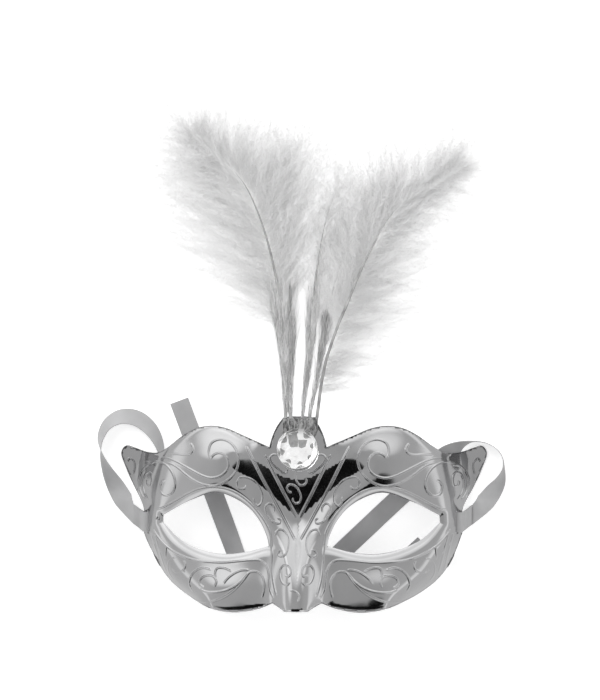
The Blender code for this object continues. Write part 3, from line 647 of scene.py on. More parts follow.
def build_shell(silver, back_silver):
    step = 0.7
    outline = shell_outline(step)
    eye = joined(EYE_OUTLINE, step)
    slot = slot_outline(step)
    loops = [outline, eye, mirrored(eye), slot, mirrored(slot), circle(PINHOLE, PINHOLE_RADIUS, 14)]
    sets = scroll_lines()
    edges = (Nearness([outline], [1.0], closed=True, side=-1),
             Nearness([eye, mirrored(eye)], [1.0, 1.0], closed=True))
    scrolls = [(Nearness(lines, [tapered] * len(lines)), width, tall) for lines, width, tall in sets]
    near_lines = thinned(np.vstack([rows_beside(lines, width) for lines, width, _ in sets]), 0.16)

    def clear(points, margin):
        keep = inside(outline, points)
        for hole in loops[1:]:
            keep &= ~inside(hole, points)
        border = Nearness(loops, [1.0] * len(loops), closed=True)(points)[0]
        return points[keep & (border > margin)]

    grid = wall_refined(*FRONT_GRID)
    far_from_lines = np.min([lines(grid)[0] / width for lines, width, _ in scrolls], axis=0)
    front_points = np.vstack([clear(near_lines, 0.2), clear(grid[far_from_lines > 1.5], 0.35)])
    plan, faces = triangulated(loops, front_points)
    height, normal = face(plan, edges, scrolls)
    front = np.column_stack([plan, height])
    plain_back, back_faces = triangulated(loops, clear(wall_refined(*BACK_GRID), 0.45))
    back_height, back_normal = face(plain_back, edges, None)
    back = np.column_stack([plain_back, back_height]) - SHELL_THICKNESS * back_normal
    back[:, 2] = np.maximum(back[:, 2], 0)

    rims = sum(len(loop) for loop in loops)
    lip = rim_points(loops, front, back)
    verts = np.vstack([front, back, lip])
    under, over = len(front), len(front) + len(back)
    polygons = [tuple(f) for f in faces] + [tuple(int(i) + under for i in f[::-1]) for f in back_faces]
    levels = (0, over, over + rims, under)
    first = 0
    for loop in loops:
        count = len(loop)
        for i in range(count):
            a, b = first + i, first + (i + 1) % count
            for low, high in zip(levels, levels[1:]):
                polygons.append((low + b, low + a, high + a, high + b))
        first += count
    shell = mesh_object("mask_shell_embossed", in_frame(verts), polygons, [silver, back_silver])
    mesh = shell.data
    sides = np.zeros(len(mesh.polygons), np.int32)
    sides[len(faces):len(faces) + len(back_faces)] = 1
    mesh.polygons.foreach_set("material_index", sides)
    corner_normals = np.zeros((len(mesh.loops), 3))
    corners = np.array([loop.vertex_index for loop in mesh.loops])
    shared = 3 * len(faces)
    corner_normals[:shared] = normal[corners[:shared]]
    mesh.normals_split_custom_set([tuple(n) for n in corner_normals])
    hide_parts("mask_shell")
    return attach(shell, "mask")


RIM_SHARE, RIM_BULGE = 0.22, 0.22  # each row's share of the way across the rim, and its bulge in mm


def rim_points(loops, front, back):
    """Two rounded rows between the front's and the back's edges."""
    rows, first = [[], []], 0
    for index, loop in enumerate(loops):
        count = len(loop)
        f, b = front[first:first + count], back[first:first + count]
        along = np.roll(f, -1, axis=0) - np.roll(f, 1, axis=0)
        out = np.cross(along, f - b)
        out /= np.maximum(np.linalg.norm(out, axis=1), 1e-9)[:, None]
        turned = inside(loop, loop + out[:, :2] * 0.05).mean() > 0.5
        outward = -1 if turned != (index > 0) else 1
        bulge = RIM_BULGE * outward
        rows[0].append(f * (1 - RIM_SHARE) + b * RIM_SHARE + out * bulge)
        rows[1].append(f * RIM_SHARE + b * (1 - RIM_SHARE) + out * bulge)
        first += count
    made = np.vstack([*rows[0], *rows[1]])
    made[:, 2] = np.maximum(made[:, 2], 0)
    return made


def band_faces(rows, count):
    """Faces between rows of count points each, closed round."""
    faces = []
    for r in range(rows - 1):
        for c in range(count):
            a, b = r * count + c, r * count + (c + 1) % count
            faces.append((a, b, b + count, a + count))
    return faces


def tube_faces(rows, count):
    """The band of faces of a tube, and a cap at both ends."""
    ends = [tuple(range(count))[::-1], tuple((rows - 1) * count + c for c in range(count))]
    return band_faces(rows, count) + ends


# ---------------------------------------------------------------- ribbons

def tie_route(side):
    """A ribbon's route from its loop, as (x, v, z, lean): lean 0 lies flat and 90 stands on edge."""
    start = LOOP_REACH + TIE_GAP
    x, z = BAR_X, BAR_Z
    return {
        "left": [(-x - start, TIE_START_V, z, 0), (-88.6, 9.6, z - 0.6, 8), (-93.2, 17, 5.6, 30),
                 (-97.6, 25, 5.0, 62), (-100.6, 33, 4.9, 88), (-101.2, 41, 4.9, 112), (-98, 48, 4.6, 126),
                 (-91.4, 52, 4.2, 138), (-83.6, 51.4, 4.0, 142), (-77.2, 47, 4.2, 134),
                 (-72.8, 40.4, 4.8, 118), (-70.4, 32, 5.2, 100), (-70, 22, 5.3, 92), (-70.6, 10, 5.3, 90),
                 (-71, -2, 5.3, 90), (-69, -13, 5.3, 90), (-63, -23, 5.2, 94), (-54.6, -30.4, 4.9, 106),
                 (-45.6, -34.4, 4.4, 122), (-37.4, -34, 3.9, 134), (-32.2, -29.4, 3.2, 144),
                 (-31.8, -22, 2.4, 154), (-34.6, -14.1, 1.4, 165), (-38, -5, 0.8, 174),
                 (-41.6, 4.6, 0.4, 180), (-45.2, 14.2, 0.4, 180), (-50.8, 29.2, 0.4, 180),
                 (-56.6, 44.8, 0.4, 180), (-62.3, 60, 0.4, 180)],
        "right": [(x + start, TIE_START_V, z, 0), (89.4, 8.6, z - 0.6, -6), (94, 14.4, 5.4, -26),
                  (97.8, 20, 5.0, -54), (99.6, 26.4, 4.9, -82), (98.8, 32.6, 4.9, -88),
                  (95.6, 36.6, 4.9, -88), (90.6, 39.2, 4.9, -88), (84, 39.9, 4.9, -86),
                  (79.4, 38.8, 4.6, -72), (75.4, 36.6, 3.9, -48), (71, 33.4, 2.4, -24),
                  (66, 28.8, 1.3, -10), (59.4, 22.6, 0.9, -3), (52, 16, 0.4, 0), (42, 6.8, 0.4, 0),
                  (31, -3.6, 0.4, 0), (21, -13, 0.9, -3), (13, -20.6, 2.3, -20), (5, -26.6, 4.2, -56),
                  (-3, -29, 5.1, -84), (-8.4, -25, 5.2, -90), (-6.6, -18.6, 5.2, -90),
                  (0, -16.6, 5.2, -88), (9, -19.6, 5.0, -76), (20, -24.4, 4.2, -52),
                  (31.6, -27.6, 2.7, -28), (42, -24.8, 1.4, -10), (53, -17.4, 0.9, -2),
                  (60, -11.2, 0.8, 0)],
    }[side]


def strip(name, centres, across, material, start=0.0, thickness=RIBBON_THICKNESS, columns=10):
    """A ribbon through stations: centres, and half widths across. Its edges are woven a little thicker."""
    centres, across = np.asarray(centres, float), np.asarray(across, float)
    runs = directions(centres)
    through = np.cross(runs, across)
    through /= np.linalg.norm(through, axis=1)[:, None]
    shares = np.linspace(-1, 1, columns + 1)
    half = thickness / 2 * (1 + 0.35 * (np.abs(shares) > 0.93))
    rings = []
    for sign, order in ((1, slice(None)), (-1, slice(None, None, -1))):
        for share, thick in zip(shares[order], half[order]):
            rings.append(centres + across * share + through * (sign * thick))
    grid = np.stack(rings, axis=1)
    rows, count = grid.shape[:2]
    obj = mesh_object(name, in_frame(grid.reshape(-1, 3)), tube_faces(rows, count), [material])
    lengths = start + np.concatenate([[0], np.cumsum(np.linalg.norm(np.diff(centres, axis=0), axis=1))])
    width = np.linalg.norm(across, axis=1).mean()
    places = np.concatenate([shares, shares[::-1]]) * width
    layer = obj.data.uv_layers.new(name="ribbon")
    where = np.array([loop.vertex_index for loop in obj.data.loops])
    uv = np.column_stack([lengths[where // count], places[where % count]]) * MM
    layer.data.foreach_set("uv", uv.astype(np.float32).ravel())
    obj.data.set_sharp_from_angle(angle=math.radians(50))
    return obj


def tie_stations(side):
    line = smooth_stretch(tie_route(side), 0.9)
    middle, lean = line[:, :3], np.radians(line[:, 3])
    runs = directions(middle)
    flat = np.column_stack([-runs[:, 1], runs[:, 0], np.zeros(len(runs))])
    flat /= np.linalg.norm(flat, axis=1)[:, None]
    up = np.cross(runs, flat)
    up *= np.sign(up[:, 2:])
    across = flat * np.cos(lean)[:, None] + up * np.sin(lean)[:, None]
    travelled = np.concatenate([[0], np.cumsum(np.linalg.norm(np.diff(middle, axis=0), axis=1))])
    askew = np.array([0, 1, 0]) * np.sign(across[0, 1]) * LOOP_WIDTH / RIBBON_WIDTH
    share = np.clip(travelled / UNSKEW_LENGTH, 0, 1)[:, None]
    across = askew * (1 - share) + across * share
    return middle, across * RIBBON_WIDTH / 2, travelled


def build_ribbon(side, material):
    """The loop swings on its bar, the lead runs from it to the tie and the tie lies on the table."""
    sign = -1 if side == "left" else 1
    middle, across, travelled = tie_stations(side)
    layer = LOOP_LAYER if side == "left" else -LOOP_LAYER
    first = np.array([[sign * (BAR_X + LOOP_REACH - s), TIE_START_V - LOOP_SKEW * s, BAR_Z + layer]
                      for s in (1.6, 0.6)])
    sink = np.clip(1 - travelled / SINK_LENGTH, 0, 1)[:, None] * (0, 0, layer)
    middle = np.vstack([first, middle + sink])
    across = np.vstack([across[:1], across[:1], across])
    travelled = np.concatenate([[0], np.cumsum(np.linalg.norm(np.diff(middle, axis=0), axis=1))])
    cut = int(np.searchsorted(travelled, LEAD_LENGTH))
    lead = strip(f"ribbon_{side}_lead", middle[:cut + 1], across[:cut + 1], material)
    tie = strip(f"ribbon_{side}_length", middle[cut:], across[cut:], material, start=travelled[cut])
    loop = build_loop(side, sign, material)
    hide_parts(f"ribbon_{side}_tie")
    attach(tie, "mask")
    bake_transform(lead)
    return loop


def build_loop(side, sign, material):
    join = math.asin(LOOP_LAYER / LOOP_RADIUS) + 0.35
    turns = np.linspace(join, 2 * math.pi - join, 40)
    arc = [(LOOP_RADIUS * math.cos(t), LOOP_RADIUS * math.sin(t)) for t in turns]
    upper = [(r, LOOP_LAYER) for r in np.linspace(LOOP_REACH, LOOP_REACH - LOOP_OVERLAP, 6)]
    section = np.array(upper + arc + [(r, -z) for r, z in reversed(upper)])
    section = smooth_stretch(np.column_stack([section, np.zeros(len(section))]), 0.4)[:, :2]
    skew = LOOP_SKEW * np.maximum(section[:, 0] - SKEW_START, 0)
    centres = np.column_stack([sign * (BAR_X + section[:, 0]), skew, BAR_Z + section[:, 1]])
    across = np.tile([0, LOOP_WIDTH / 2, 0], (len(centres), 1))
    loop = strip(f"ribbon_{side}_fold", centres, across, material, thickness=LOOP_THICKNESS)
    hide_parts(f"ribbon_{side}_loop")
    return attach(loop, f"{side}_loop")


# ---------------------------------------------------------------- stone, foil and glue

def on_seat(points):
    """Seat coordinates (x, s up the tab, level over it), in millimetres, to metres in the frame."""
    turn = np.array(Matrix.Rotation(-TAB_TILT, 3, "X"))
    origin = np.array((0, EYE_LINE_Y + GEM_V, seat_height(GEM_V)))
    return (np.asarray(points, float) @ turn.T + origin) * MM


def ring(radius, level, count, turn=0.0):
    """Points round the stone's axis, turned by a share of one step."""
    angles = 2 * math.pi * (np.arange(count) + turn) / count
    return np.column_stack([radius * np.cos(angles), radius * np.sin(angles), np.full(count, level)])


def build_stone(material):
    """A round stone with a wide table, a crown of facets and a thin girdle."""
    base = PAD_TOP + 0.9
    levels = [ring(GEM_RADIUS - 0.3, base, 48), ring(GEM_RADIUS, base + 0.5, 48),
              ring(GEM_RADIUS, base + 1.6, 48),
              ring(GEM_CROWN, base + 2.9, 16, 0.5), ring(GEM_TABLE, base + GEM_HEIGHT, 16)]
    bm = bmesh.new()
    for co in np.vstack(levels):
        bm.verts.new(co)
    hull = bmesh.ops.convex_hull(bm, input=bm.verts)
    bmesh.ops.delete(bm, geom=list({*hull["geom_interior"], *hull["geom_unused"]}), context="VERTS")
    bmesh.ops.dissolve_limit(bm, angle_limit=0.01, verts=bm.verts, edges=bm.edges)
    bmesh.ops.bevel(bm, geom=bm.edges, offset=0.07, segments=1, affect="EDGES")
    for vert, co in zip(bm.verts, on_seat([v.co for v in bm.verts])):
        vert.co = co
    mesh = bpy.data.meshes.new("stone")
    bm.to_mesh(mesh)
    bm.free()
    mesh.materials.append(material)
    stone = link(bpy.data.objects.new("stone_cut", mesh))
    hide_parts("gem")
    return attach(stone, "mask")


STAR_RAYS = 8
STAR_TURN = math.radians(11)
STAR_BITE = math.radians(12)  # half of each shaded scallop between two rays
STAR_RIM = 0.88  # share of the radius where the scallops end
PAINTED_REFLECTION_FACETS = [  # darker foil facets under the upper half of the table, a painted dark reflection, as shares of the stone's radius
    [(-0.47, 0.74), (-0.02, 0.7), (0.06, 0.42), (0.02, 0.1), (-0.34, 0.08), (-0.45, 0.3)],
    [(0.06, 0.48), (0.5, 0.46), (0.42, 0.1), (0.2, 0.03), (0.06, 0.1)],
]


def build_foil(bright, shade):
    """The foil back: a bright star. Its scallops are painted shade, and two facets in its middle are darker,
    a painted dark reflection.
    """
    level, radius, count = PAD_TOP + 0.3, GEM_RADIUS - 0.4, 96
    bites = [math.pi / 2 + STAR_TURN + 2 * math.pi * i / STAR_RAYS for i in range(STAR_RAYS)]
    verts = [(0, 0, level + 0.35)]
    angles = 2 * math.pi * np.arange(count) / count
    nearest = np.min([np.abs((angles - bite + math.pi) % (2 * math.pi) - math.pi) for bite in bites], axis=0)
    inner = STAR_RIM * radius
    reach = inner * (1 - 0.26 * np.sqrt(np.clip(1 - (nearest / STAR_BITE) ** 2, 0, 1)))
    rows = [(reach, 0.3), (np.full(count, inner), 0.2), (np.full(count, radius), 0.3),
            (np.full(count, radius), -0.25)]
    for far, lift in rows:
        verts += [(r * math.cos(a), r * math.sin(a), level + lift) for r, a in zip(far, angles)]
    faces, tones = [], []
    for i in range(count):
        j = (i + 1) % count
        faces.append((0, 1 + i, 1 + j))
        faces += [(1 + r * count + i, 1 + (r + 1) * count + i, 1 + (r + 1) * count + j, 1 + r * count + j)
                  for r in range(3)]
        # the scallops take the darker foil: painted shade
        tones += [0, int(max(inner - reach[i], inner - reach[j]) > 0.01), 0, 0]
    faces.append(tuple(1 + 3 * count + i for i in range(count))[::-1])
    tones.append(0)
    # these facets take the darker foil: a painted dark reflection
    for outline in PAINTED_REFLECTION_FACETS:
        first = len(verts)
        verts += [(x * radius, s * radius, level + 0.42) for x, s in outline]
        verts += [(x * radius, s * radius, level + 0.2) for x, s in outline]
        size = len(outline)
        faces.append(tuple(first + i for i in range(size))[::-1])
        faces += [(first + i, first + (i + 1) % size, first + size + (i + 1) % size, first + size + i)
                  for i in range(size)]
        tones += [1] * (size + 1)
    foil = mesh_object("stone_foil", on_seat(verts), faces, [bright, shade], smooth=False)
    foil.data.polygons.foreach_set("material_index", np.array(tones, np.int32))
    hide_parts("gem_foil")
    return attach(foil, "mask")


def wobble(angle, seed, waves=range(2, 9)):
    """A smooth irregular value round a turn."""
    rng = np.random.default_rng(seed)
    total = np.zeros_like(angle)
    for k in waves:
        total += rng.normal() / k * np.sin(k * angle + rng.uniform(0, 6.3))
    return total


GLUE_RADIUS = 9.3  # under the stone
PATCH_RIGHT, PATCH_LEFT, PATCH_TOP = 9.6, 7.7, 16.2  # how far the patch reaches from the stone's middle


def build_glue(material):
    """Glue under the stone, and above it a ragged patch that holds the feather roots."""
    turns = np.linspace(0, 2 * math.pi, 360, endpoint=False)
    up = np.sin(turns)
    across = np.where(np.cos(turns) > 0, PATCH_RIGHT, PATCH_LEFT) / np.maximum(np.abs(np.cos(turns)), 0.05)
    patch = np.minimum(PATCH_TOP / np.maximum(up, 0.2), across)
    on_patch = ease((up - 0.55) / 0.2)
    reach = GLUE_RADIUS + (np.maximum(patch, GLUE_RADIUS) - GLUE_RADIUS) * on_patch
    reach += on_patch * (1.6 * wobble(turns, 5, range(14, 60, 5)) + 0.35 * wobble(turns, 6))
    rows = []
    for share, level in ((1.0, 0.2), (1.01, 0.9), (0.985, 1.7), (0.94, 2.2), (0.86, 2.5),
                         (0.76, 2.6), (0.66, 2.7), (0.45, 2.75), (0.2, 2.75)):
        lumps = on_patch * (0.9 * wobble(turns + share, 11, range(10, 70, 7)) + 0.2 * wobble(turns * 3, 12))
        rows.append(np.column_stack([reach * share * np.cos(turns), reach * share * up,
                                     level + lumps * (0.9 < level) * (share > 0.6)]))
    verts = np.vstack([*rows, [[0, 0, 2.75]]])
    count = len(turns)
    faces = band_faces(len(rows), count)
    last = (len(rows) - 1) * count
    faces += [(last + i, last + (i + 1) % count, last + count) for i in range(count)]
    faces.append(tuple(range(count))[::-1])
    glue = mesh_object("glue_bead", on_seat(verts), faces, [material])
    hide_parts("glue_pad")
    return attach(glue, "mask")


# ---------------------------------------------------------------- feathers

ROOT = QUILL_LEVEL
SHAFTS = {  # (x, s, level) from the root in the glue to the tip
    "left_outer": [(-6.4, 5, ROOT), (-6.2, 17, ROOT), (-6.6, 35, 4), (-8.2, 60, 7.5), (-10.8, 83, 8.5),
                   (-15.6, 103, 9), (-21, 118.5, 9), (-27.6, 131.5, 8.5), (-39.8, 145, 7.5),
                   (-52.6, 157, 6.5)],
    "left_inner": [(-3.6, 5, ROOT), (-3.8, 17, ROOT), (-4, 35, 1.8), (-4, 60, 2), (-4.6, 84, 2),
                   (-6.4, 108, 2), (-7.6, 130, 2), (-6.4, 146, 1.6)],
    "middle": [(1.6, 5, ROOT), (2.2, 17, ROOT), (3.6, 30, 2.6), (5.4, 46, 4.6), (6.6, 66, 5), (9, 90, 5),
               (13.2, 114, 4.6), (20, 134, 4)],
    "right_inner": [(5, 5, ROOT), (5.8, 17, ROOT), (8.4, 31, 0), (11, 48, -1), (14.4, 70, -1),
                    (20, 92, -1.2), (28, 112, -1.6), (38.6, 129, -2)],
    "right_outer": [(8.2, 8, ROOT), (9.4, 17, ROOT), (13, 40, 6), (19.4, 60, 8), (24, 71, 8.6),
                    (30.4, 87, 9), (36, 99, 9), (46.4, 116.5, 8.8), (55, 124.5, 8.4), (66, 131.4, 7.6),
                    (80, 139.6, 6.6)],
}
# each side's barbs: how many, the share of the shaft where they start, the longest, and their angle to the
# shaft at the start and at the tip, in degrees
DOWN = {
    "left_outer": {-1: (760, 0.34, 78, 70, 26), 1: (620, 0.42, 66, 42, 64)},
    "left_inner": {-1: (150, 0.34, 36, 22, 24), 1: (130, 0.46, 44, 24, 36)},
    "middle": {-1: (30, 0.42, 26, 14, 24), 1: (90, 0.4, 34, 24, 30)},
    "right_inner": {-1: (100, 0.36, 40, 20, 34), 1: (150, 0.36, 34, 30, 26)},
    "right_outer": {-1: (620, 0.34, 56, 36, 34), 1: (740, 0.13, 38, 74, 34)},
}
BARBULES_EACH = 130
LONGEST_BARBULE = 4.2
BARB_WIDTH, PRESSED_WIDTH, BARBULE_WIDTH = 0.13, 0.24, 0.09
DOWN_LIMITS = [(1, 1, 175), (0, -1, 79), (0, 1, 98)]  # how far barbs reach up, left and right: axis, sign, mm


def quick_mesh(name, verts, faces, material):
    """A smooth mesh from arrays of vertices and of faces with one number of corners each."""
    mesh = bpy.data.meshes.new(name)
    mesh.vertices.add(len(verts))
    mesh.vertices.foreach_set("co", np.asarray(verts, np.float32).ravel())
    corners = np.concatenate([part.ravel() for part in faces])
    sizes = np.concatenate([np.full(len(part), part.shape[1]) for part in faces])
    mesh.loops.add(len(corners))
    mesh.loops.foreach_set("vertex_index", corners.astype(np.int32))
    mesh.polygons.add(len(sizes))
    mesh.polygons.foreach_set("loop_start", np.concatenate([[0], np.cumsum(sizes)[:-1]]).astype(np.int32))
    mesh.update(calc_edges=True)
    mesh.shade_smooth()
    mesh.materials.append(material)
    return link(bpy.data.objects.new(name, mesh))


def unit(vectors):
    return vectors / np.maximum(np.linalg.norm(vectors, axis=-1), 1e-9)[..., None]


class Barbs:
    """Soft barbs with a start, a way, a length, a bend and a sway each; at() gives their points."""

    def __init__(self, rng, starts, ways, lengths, bends, sway=1.0):
        self.starts, self.ways, self.lengths, self.bends = starts, ways, lengths, bends
        count = len(starts)
        self.swings = unit(np.cross(ways, rng.normal(0, 1, (count, 3))))
        self.sway = sway * lengths / 40 * rng.uniform(0.4, 1.5, count)
        self.beats, self.phase = rng.uniform(0.8, 2.4, count), rng.uniform(0, 1, count)

    def at(self, which, t):
        swing = self.sway[which] * np.sin(2 * math.pi * (self.beats[which] * t + self.phase[which])) * t
        run = self.ways[which] * t[..., None] + self.bends[which] * (t**2)[..., None]
        return (self.starts[which] + run * self.lengths[which][..., None]
                + self.swings[which] * swing[..., None])

    def blades(self, rng, width, segments=9):
        """Each barb as a thin tapering blade: (vertices, faces)."""
        count = len(self.starts)
        t = np.tile(np.linspace(0, 1, segments + 1), (count, 1))
        spine = self.at(np.repeat(np.arange(count)[:, None], segments + 1, axis=1), t)
        sides = unit(np.cross(self.ways, rng.normal(0, 0.65, (count, 3)) + (0, 0, 1)))[:, None]
        half = (width / 2 * (1.04 - t**1.5))[..., None]
        verts = np.stack([spine - sides * half, spine + sides * half], axis=2).reshape(-1, 3)
        first = (np.arange(count)[:, None] * (2 * segments + 2) + 2 * np.arange(segments)).reshape(-1, 1)
        return verts, first + np.array([[0, 1, 3, 2]])

    def barbules(self, rng, count, longest):
        """Fine single blades all along the barbs, which they follow loosely: (vertices, faces)."""
        which = rng.choice(len(self.starts), count, p=self.lengths / self.lengths.sum())
        t = rng.uniform(0.02, 1, count)
        roots = self.at(which, t)
        follow = unit(self.at(which, t + 0.02) - roots)
        out = rng.normal(0, 1, (count, 3)) * (1, 1, 0.6)
        out = unit(out - follow * (out * follow).sum(1)[:, None])
        lengths = rng.uniform(0.45, 1, count) * longest * (1.1 - 0.5 * t)
        runs = unit(follow * rng.uniform(0.5, 1.6, count)[:, None] + out)
        tips = roots + runs * lengths[:, None]
        sides = unit(np.cross(runs, rng.normal(0, 0.6, (count, 3)) + (0, 0, 1))) * (BARBULE_WIDTH / 2)
        verts = np.stack([roots - sides, roots + sides, tips], axis=1).reshape(-1, 3)
        return verts, np.arange(3 * count).reshape(-1, 3)


def down_barbs(rng, line, sign, count, start, longest, wide, narrow):
    """Barbs on one side of a shaft's line, long in the middle and fanned round its tip."""
    runs, total = directions(line), len(line) - 1
    share = np.sort(rng.uniform(0, 1, count)) ** 0.9
    at = (start + (1 - start) * share) * total
    low = np.minimum(at.astype(int), total - 1)
    run = unit(runs[low])
    out = unit(np.column_stack([run[:, 1], -run[:, 0], np.zeros(count)])) * sign
    starts = line[low] + (line[low + 1] - line[low]) * (at - low)[:, None] + out * 0.3
    starts[:, 2] += -0.6 + 1.6 * ease((share - 0.45) / 0.3)
    angle = np.radians(wide + (narrow - wide) * share + rng.normal(0, 1, count) * (9 + 17 * ease(share)))
    lift = np.clip(rng.normal(-0.04, 0.14, count), -0.3, 0.22)[:, None] * (0, 0, 1)
    ways = unit(run * np.cos(angle)[:, None] + out * np.sin(angle)[:, None] + lift)
    swell = (0.55 + 0.45 * ease(share / 0.25)) * (1 - 0.5 * ease((share - 0.45) / 0.55))
    lengths = longest * swell * rng.triangular(0.2, 0.65, 1.25, count)
    bends = run * rng.normal(0.14, 0.2, count)[:, None] + out * rng.normal(-0.02, 0.14, count)[:, None]
    bends[:, 2] += rng.normal(-0.03, 0.05, count)
    for axis, way, limit in DOWN_LIMITS:
        room = limit + np.clip(rng.normal(-1, 7, count), -20, 5) - way * starts[:, axis]
        lengths *= np.clip(room / np.maximum(way * (ways + bends)[:, axis] * lengths, 1e-3), 0.15, 1)
    return Barbs(rng, starts, ways, lengths, bends, sway=1.6)


def build_feather(name, seed, shaft_stuff, down_stuff):
    rng = np.random.default_rng(seed)
    line = smooth_stretch(SHAFTS[name], 1.5)
    runs = directions(line)
    across = unit(np.cross(runs, (0, 0, 1)))
    over = np.cross(across, runs)
    share = np.linspace(0, 1, len(line))
    thinning = 1.1 - 0.7 * share - 0.3 * ease((share - 0.5) / 0.4)
    radius = QUILL_RADIUS * thinning * (1 - 0.2 * np.exp(-share / 0.05))
    rings = [line + radius[:, None] * (across * math.cos(t) + over * math.sin(t) * 0.85)
             for t in np.linspace(0, 2 * math.pi, 12, endpoint=False)]
    grid = np.stack(rings, axis=1)
    rows, count = grid.shape[:2]
    faces = tube_faces(rows, count)
    shaft = mesh_object(f"shaft_{name}", on_seat(grid.reshape(-1, 3)), faces, [shaft_stuff])
    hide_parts(f"quill_{name}")
    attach(shaft, "mask")

    verts, blades, hairs, used = [], [], [], 0
    fine = smooth_stretch(SHAFTS[name], 0.8)
    for sign, shape in DOWN[name].items():
        barbs = down_barbs(rng, fine, sign, *shape)
        small = barbs.barbules(rng, BARBULES_EACH * len(barbs.starts), LONGEST_BARBULE)
        for made, into in ((barbs.blades(rng, BARB_WIDTH), blades), (small, hairs)):
            verts.append(made[0])
            into.append(made[1] + used)
            used += len(made[0])
    plume = quick_mesh(f"down_{name}", on_seat(np.vstack(verts)), [*blades, *hairs], down_stuff)
    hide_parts(f"plume_{name}")
    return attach(plume, "mask")


# how wide the pressed barbs round a quill are where its down starts
WRAPPED = {"left_outer": 4.6, "left_inner": 3.2, "middle": 3.0, "right_inner": 1.7}
PRESSED_PER_MM = 210  # barbs for each millimetre of that width


def build_bundle(material):
    """Barbs pressed along the lower quills: they thicken towards the down and run out loosely into it."""
    rng = np.random.default_rng(9)
    verts, faces, used = [], [], 0
    for name, widest in WRAPPED.items():
        line = smooth_stretch(SHAFTS[name], 1.0)
        runs = unit(directions(line))
        start, end = 8, int(len(line) * (DOWN[name][-1][1] + 0.08))
        count = int(PRESSED_PER_MM * widest)
        drawn = np.minimum(rng.uniform(0, 1, count), rng.uniform(0.6, 1.2, count))
        place = start + ((end - start) * drawn).astype(int)
        grown = (place - start) / (end - start)
        out = rng.normal(0, 1, (count, 3)) * (1, 1, 0.5)
        out = unit(out - runs[place] * (out * runs[place]).sum(1)[:, None])
        spread = (0.5 + (widest - 0.5) * grown**1.4) * rng.uniform(0, 1, count) ** 0.7
        starts = line[place] + out * spread[:, None]
        ways = unit(runs[place] + out * rng.normal(0.06, 0.05, count)[:, None])
        lengths = rng.uniform(6, 16, count) * (1 + grown)
        barbs = Barbs(rng, starts, ways, lengths, rng.normal(0, 0.08, (count, 3)), sway=2.2)
        made = barbs.blades(rng, PRESSED_WIDTH, segments=7)
        verts.append(made[0])
        faces.append(made[1] + used)
        used += len(made[0])
    bundle = quick_mesh("pressed_barbs", on_seat(np.vstack(verts)), faces, material)
    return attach(bundle, "mask")


# ---------------------------------------------------------------- studio

# round lights and a round flag on the dome: direction, inner and outer angle in degrees, and strength
DOME_LIGHTS = [((-48, 46), 8, 24, 0.6), ((48, 52), 6, 18, 0.4)]
CHEEK_FLAG = ((41, -27), 8, 12, 1)
FLAG_DARKNESS = 0.99
HORIZON_GREY = 0.66
STRIP_STRENGTH = 0.4  # of a low band of light all round


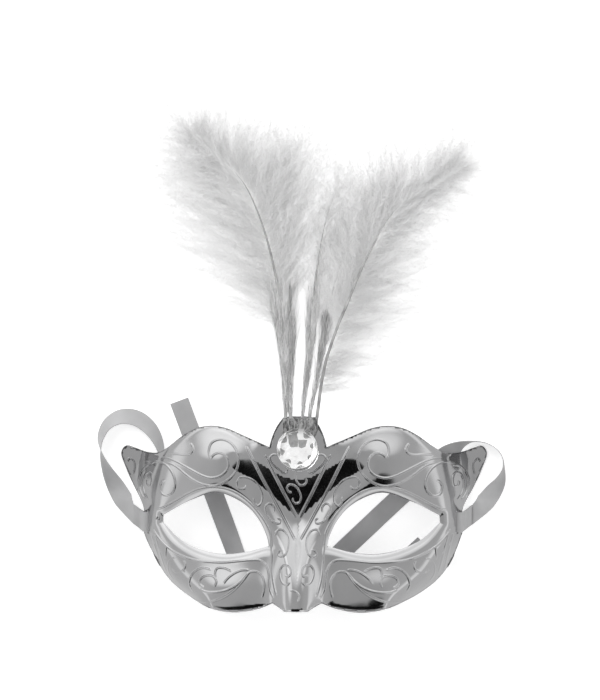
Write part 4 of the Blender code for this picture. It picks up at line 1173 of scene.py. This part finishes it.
def build_dome():
    """A grey dome, paler low down, with soft lights towards the brow and dark flags towards the chin."""
    world = bpy.data.worlds.new("studio")
    bpy.context.scene.world = world
    world.use_nodes = True
    tree = world.node_tree
    way = tree.nodes.new("ShaderNodeTexCoord").outputs["Generated"]
    axes = tree.nodes.new("ShaderNodeSeparateXYZ")
    tree.links.new(way, axes.inputs["Vector"])

    def ramp(source, low, high, bottom=0.0, top=1.0):
        """From bottom to top as source goes from low to high, smoothly."""
        node = tree.nodes.new("ShaderNodeMapRange")
        node.interpolation_type = "SMOOTHSTEP"
        for socket, value in zip(("From Min", "From Max", "To Min", "To Max"), (low, high, bottom, top)):
            node.inputs[socket].default_value = value
        tree.links.new(source, node.inputs["Value"])
        return node.outputs["Result"]

    def maths(operation, *sources):
        node = tree.nodes.new("ShaderNodeMath")
        node.operation = operation
        for socket, source in zip(node.inputs, sources):
            if isinstance(source, (int, float)):
                socket.default_value = source
            else:
                tree.links.new(source, socket)
        return node.outputs["Value"]

    def spot(way_to, inner, outer, amount):
        """Amount inside a soft-edged round spot, 0 outside; its direction and its angles are in degrees."""
        dot = tree.nodes.new("ShaderNodeVectorMath")
        dot.operation = "DOT_PRODUCT"
        tilt = [math.tan(math.radians(a)) for a in way_to]
        dot.inputs[1].default_value = Vector((*tilt, 1)).normalized()
        tree.links.new(way, dot.inputs[0])
        edge, core = (math.cos(math.radians(a)) for a in (outer, inner))
        return ramp(dot.outputs["Value"], edge, core, 0, amount)

    x, y, z = (axes.outputs[axis] for axis in "XYZ")
    dome = ramp(z, 0.35, 1.0, 0.62, 0.5)
    dome = maths("ADD", dome, ramp(y, 0.5, 0.9, 0, 0.5))
    dome = maths("ADD", dome, ramp(x, -0.2, 0.6, 0.02, -0.05))
    for light in [spot(*light) for light in DOME_LIGHTS]:
        dome = maths("ADD", dome, light)
    flag = maths("MULTIPLY", ramp(y, -0.32, -0.27, 1, 0), ramp(y, -0.78, -0.72, 0, 1))
    beside = maths("ADD", maths("ABSOLUTE", x), maths("MULTIPLY", y, 1.2))
    flag = maths("MULTIPLY", flag, ramp(beside, 0.04, 0.14, 1, 0))
    flag = maths("MULTIPLY", flag, ramp(z, 0.3, 0.4))
    flag = maths("MAXIMUM", flag, spot(*CHEEK_FLAG))
    dome = maths("MULTIPLY", dome, maths("SUBTRACT", 1, maths("MULTIPLY", flag, FLAG_DARKNESS)))
    dome = maths("MAXIMUM", dome, ramp(z, 0.04, 0.3, HORIZON_GREY, 0))
    strip_light = maths("MULTIPLY", ramp(z, 0.1, 0.22, 1, 0), ramp(z, -0.1, -0.02, 0, 1))
    dome = maths("ADD", dome, maths("MULTIPLY", strip_light, STRIP_STRENGTH))
    tree.links.new(dome, tree.nodes["Background"].inputs["Color"])


def area_light(name, location, size, power):
    """A soft light that shines on the table's middle and doesn't show in the silver."""
    data = bpy.data.lights.new(name, "AREA")
    data.shape, data.size, data.size_y, data.energy = "RECTANGLE", size[0], size[1], power
    light = link(bpy.data.objects.new(name, data))
    light.location = location
    light.rotation_euler = (-Vector(location)).to_track_quat("-Z", "Y").to_euler()
    light.visible_glossy = False


def build_studio():
    bpy.context.scene.view_settings.view_transform = "Standard"
    build_dome()
    n = Nodes("table_top", Base_Color=(0.86, 0.86, 0.86, 1), Roughness=1.0)
    n.shader.inputs["Specular IOR Level"].default_value = 0
    n.shader.inputs["Emission Color"].default_value = (1, 1, 1, 1)
    n.shader.inputs["Emission Strength"].default_value = 0.55
    n.drive("Base Color", n.ramp(n.noise(3), (0.85, 0.85, 0.85), (0.87, 0.87, 0.87)))
    floor = mesh_object("table_top", [(-4, -4, -0.0003), (4, -4, -0.0003), (4, 4, -0.0003), (-4, 4, -0.0003)],
                        [(0, 1, 2, 3)], [n.material], smooth=False)
    floor.visible_glossy = False
    area_light("key", (-1.3, 1.2, 2.4), (1.6, 1.4), 24)
    area_light("fill", (1.6, -0.2, 2.2), (1.4, 1.8), 14)


# ---------------------------------------------------------------- everything

place_camera()
satin = satin_material()
for ribbon_side in ("left", "right"):
    build_ribbon(ribbon_side, satin)
glue_stuff = glue_material()
for ribbon_side in ("left", "right"):
    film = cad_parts[f"ribbon_{ribbon_side}_glue"]
    film.data.materials.clear()
    film.data.materials.append(glue_stuff)
build_shell(silver_material(), back_material())
build_stone(stone_material())
build_foil(foil_material("foil", 0.95, 0.3), foil_material("foil_shade", 0.5, 0.02))
build_glue(glue_stuff)
shafts, downs = quill_material(), down_material()
for feather_seed, feather in enumerate(SHAFTS):
    build_feather(feather, feather_seed + 1, shafts, downs)
build_bundle(pressed_material())
build_studio()
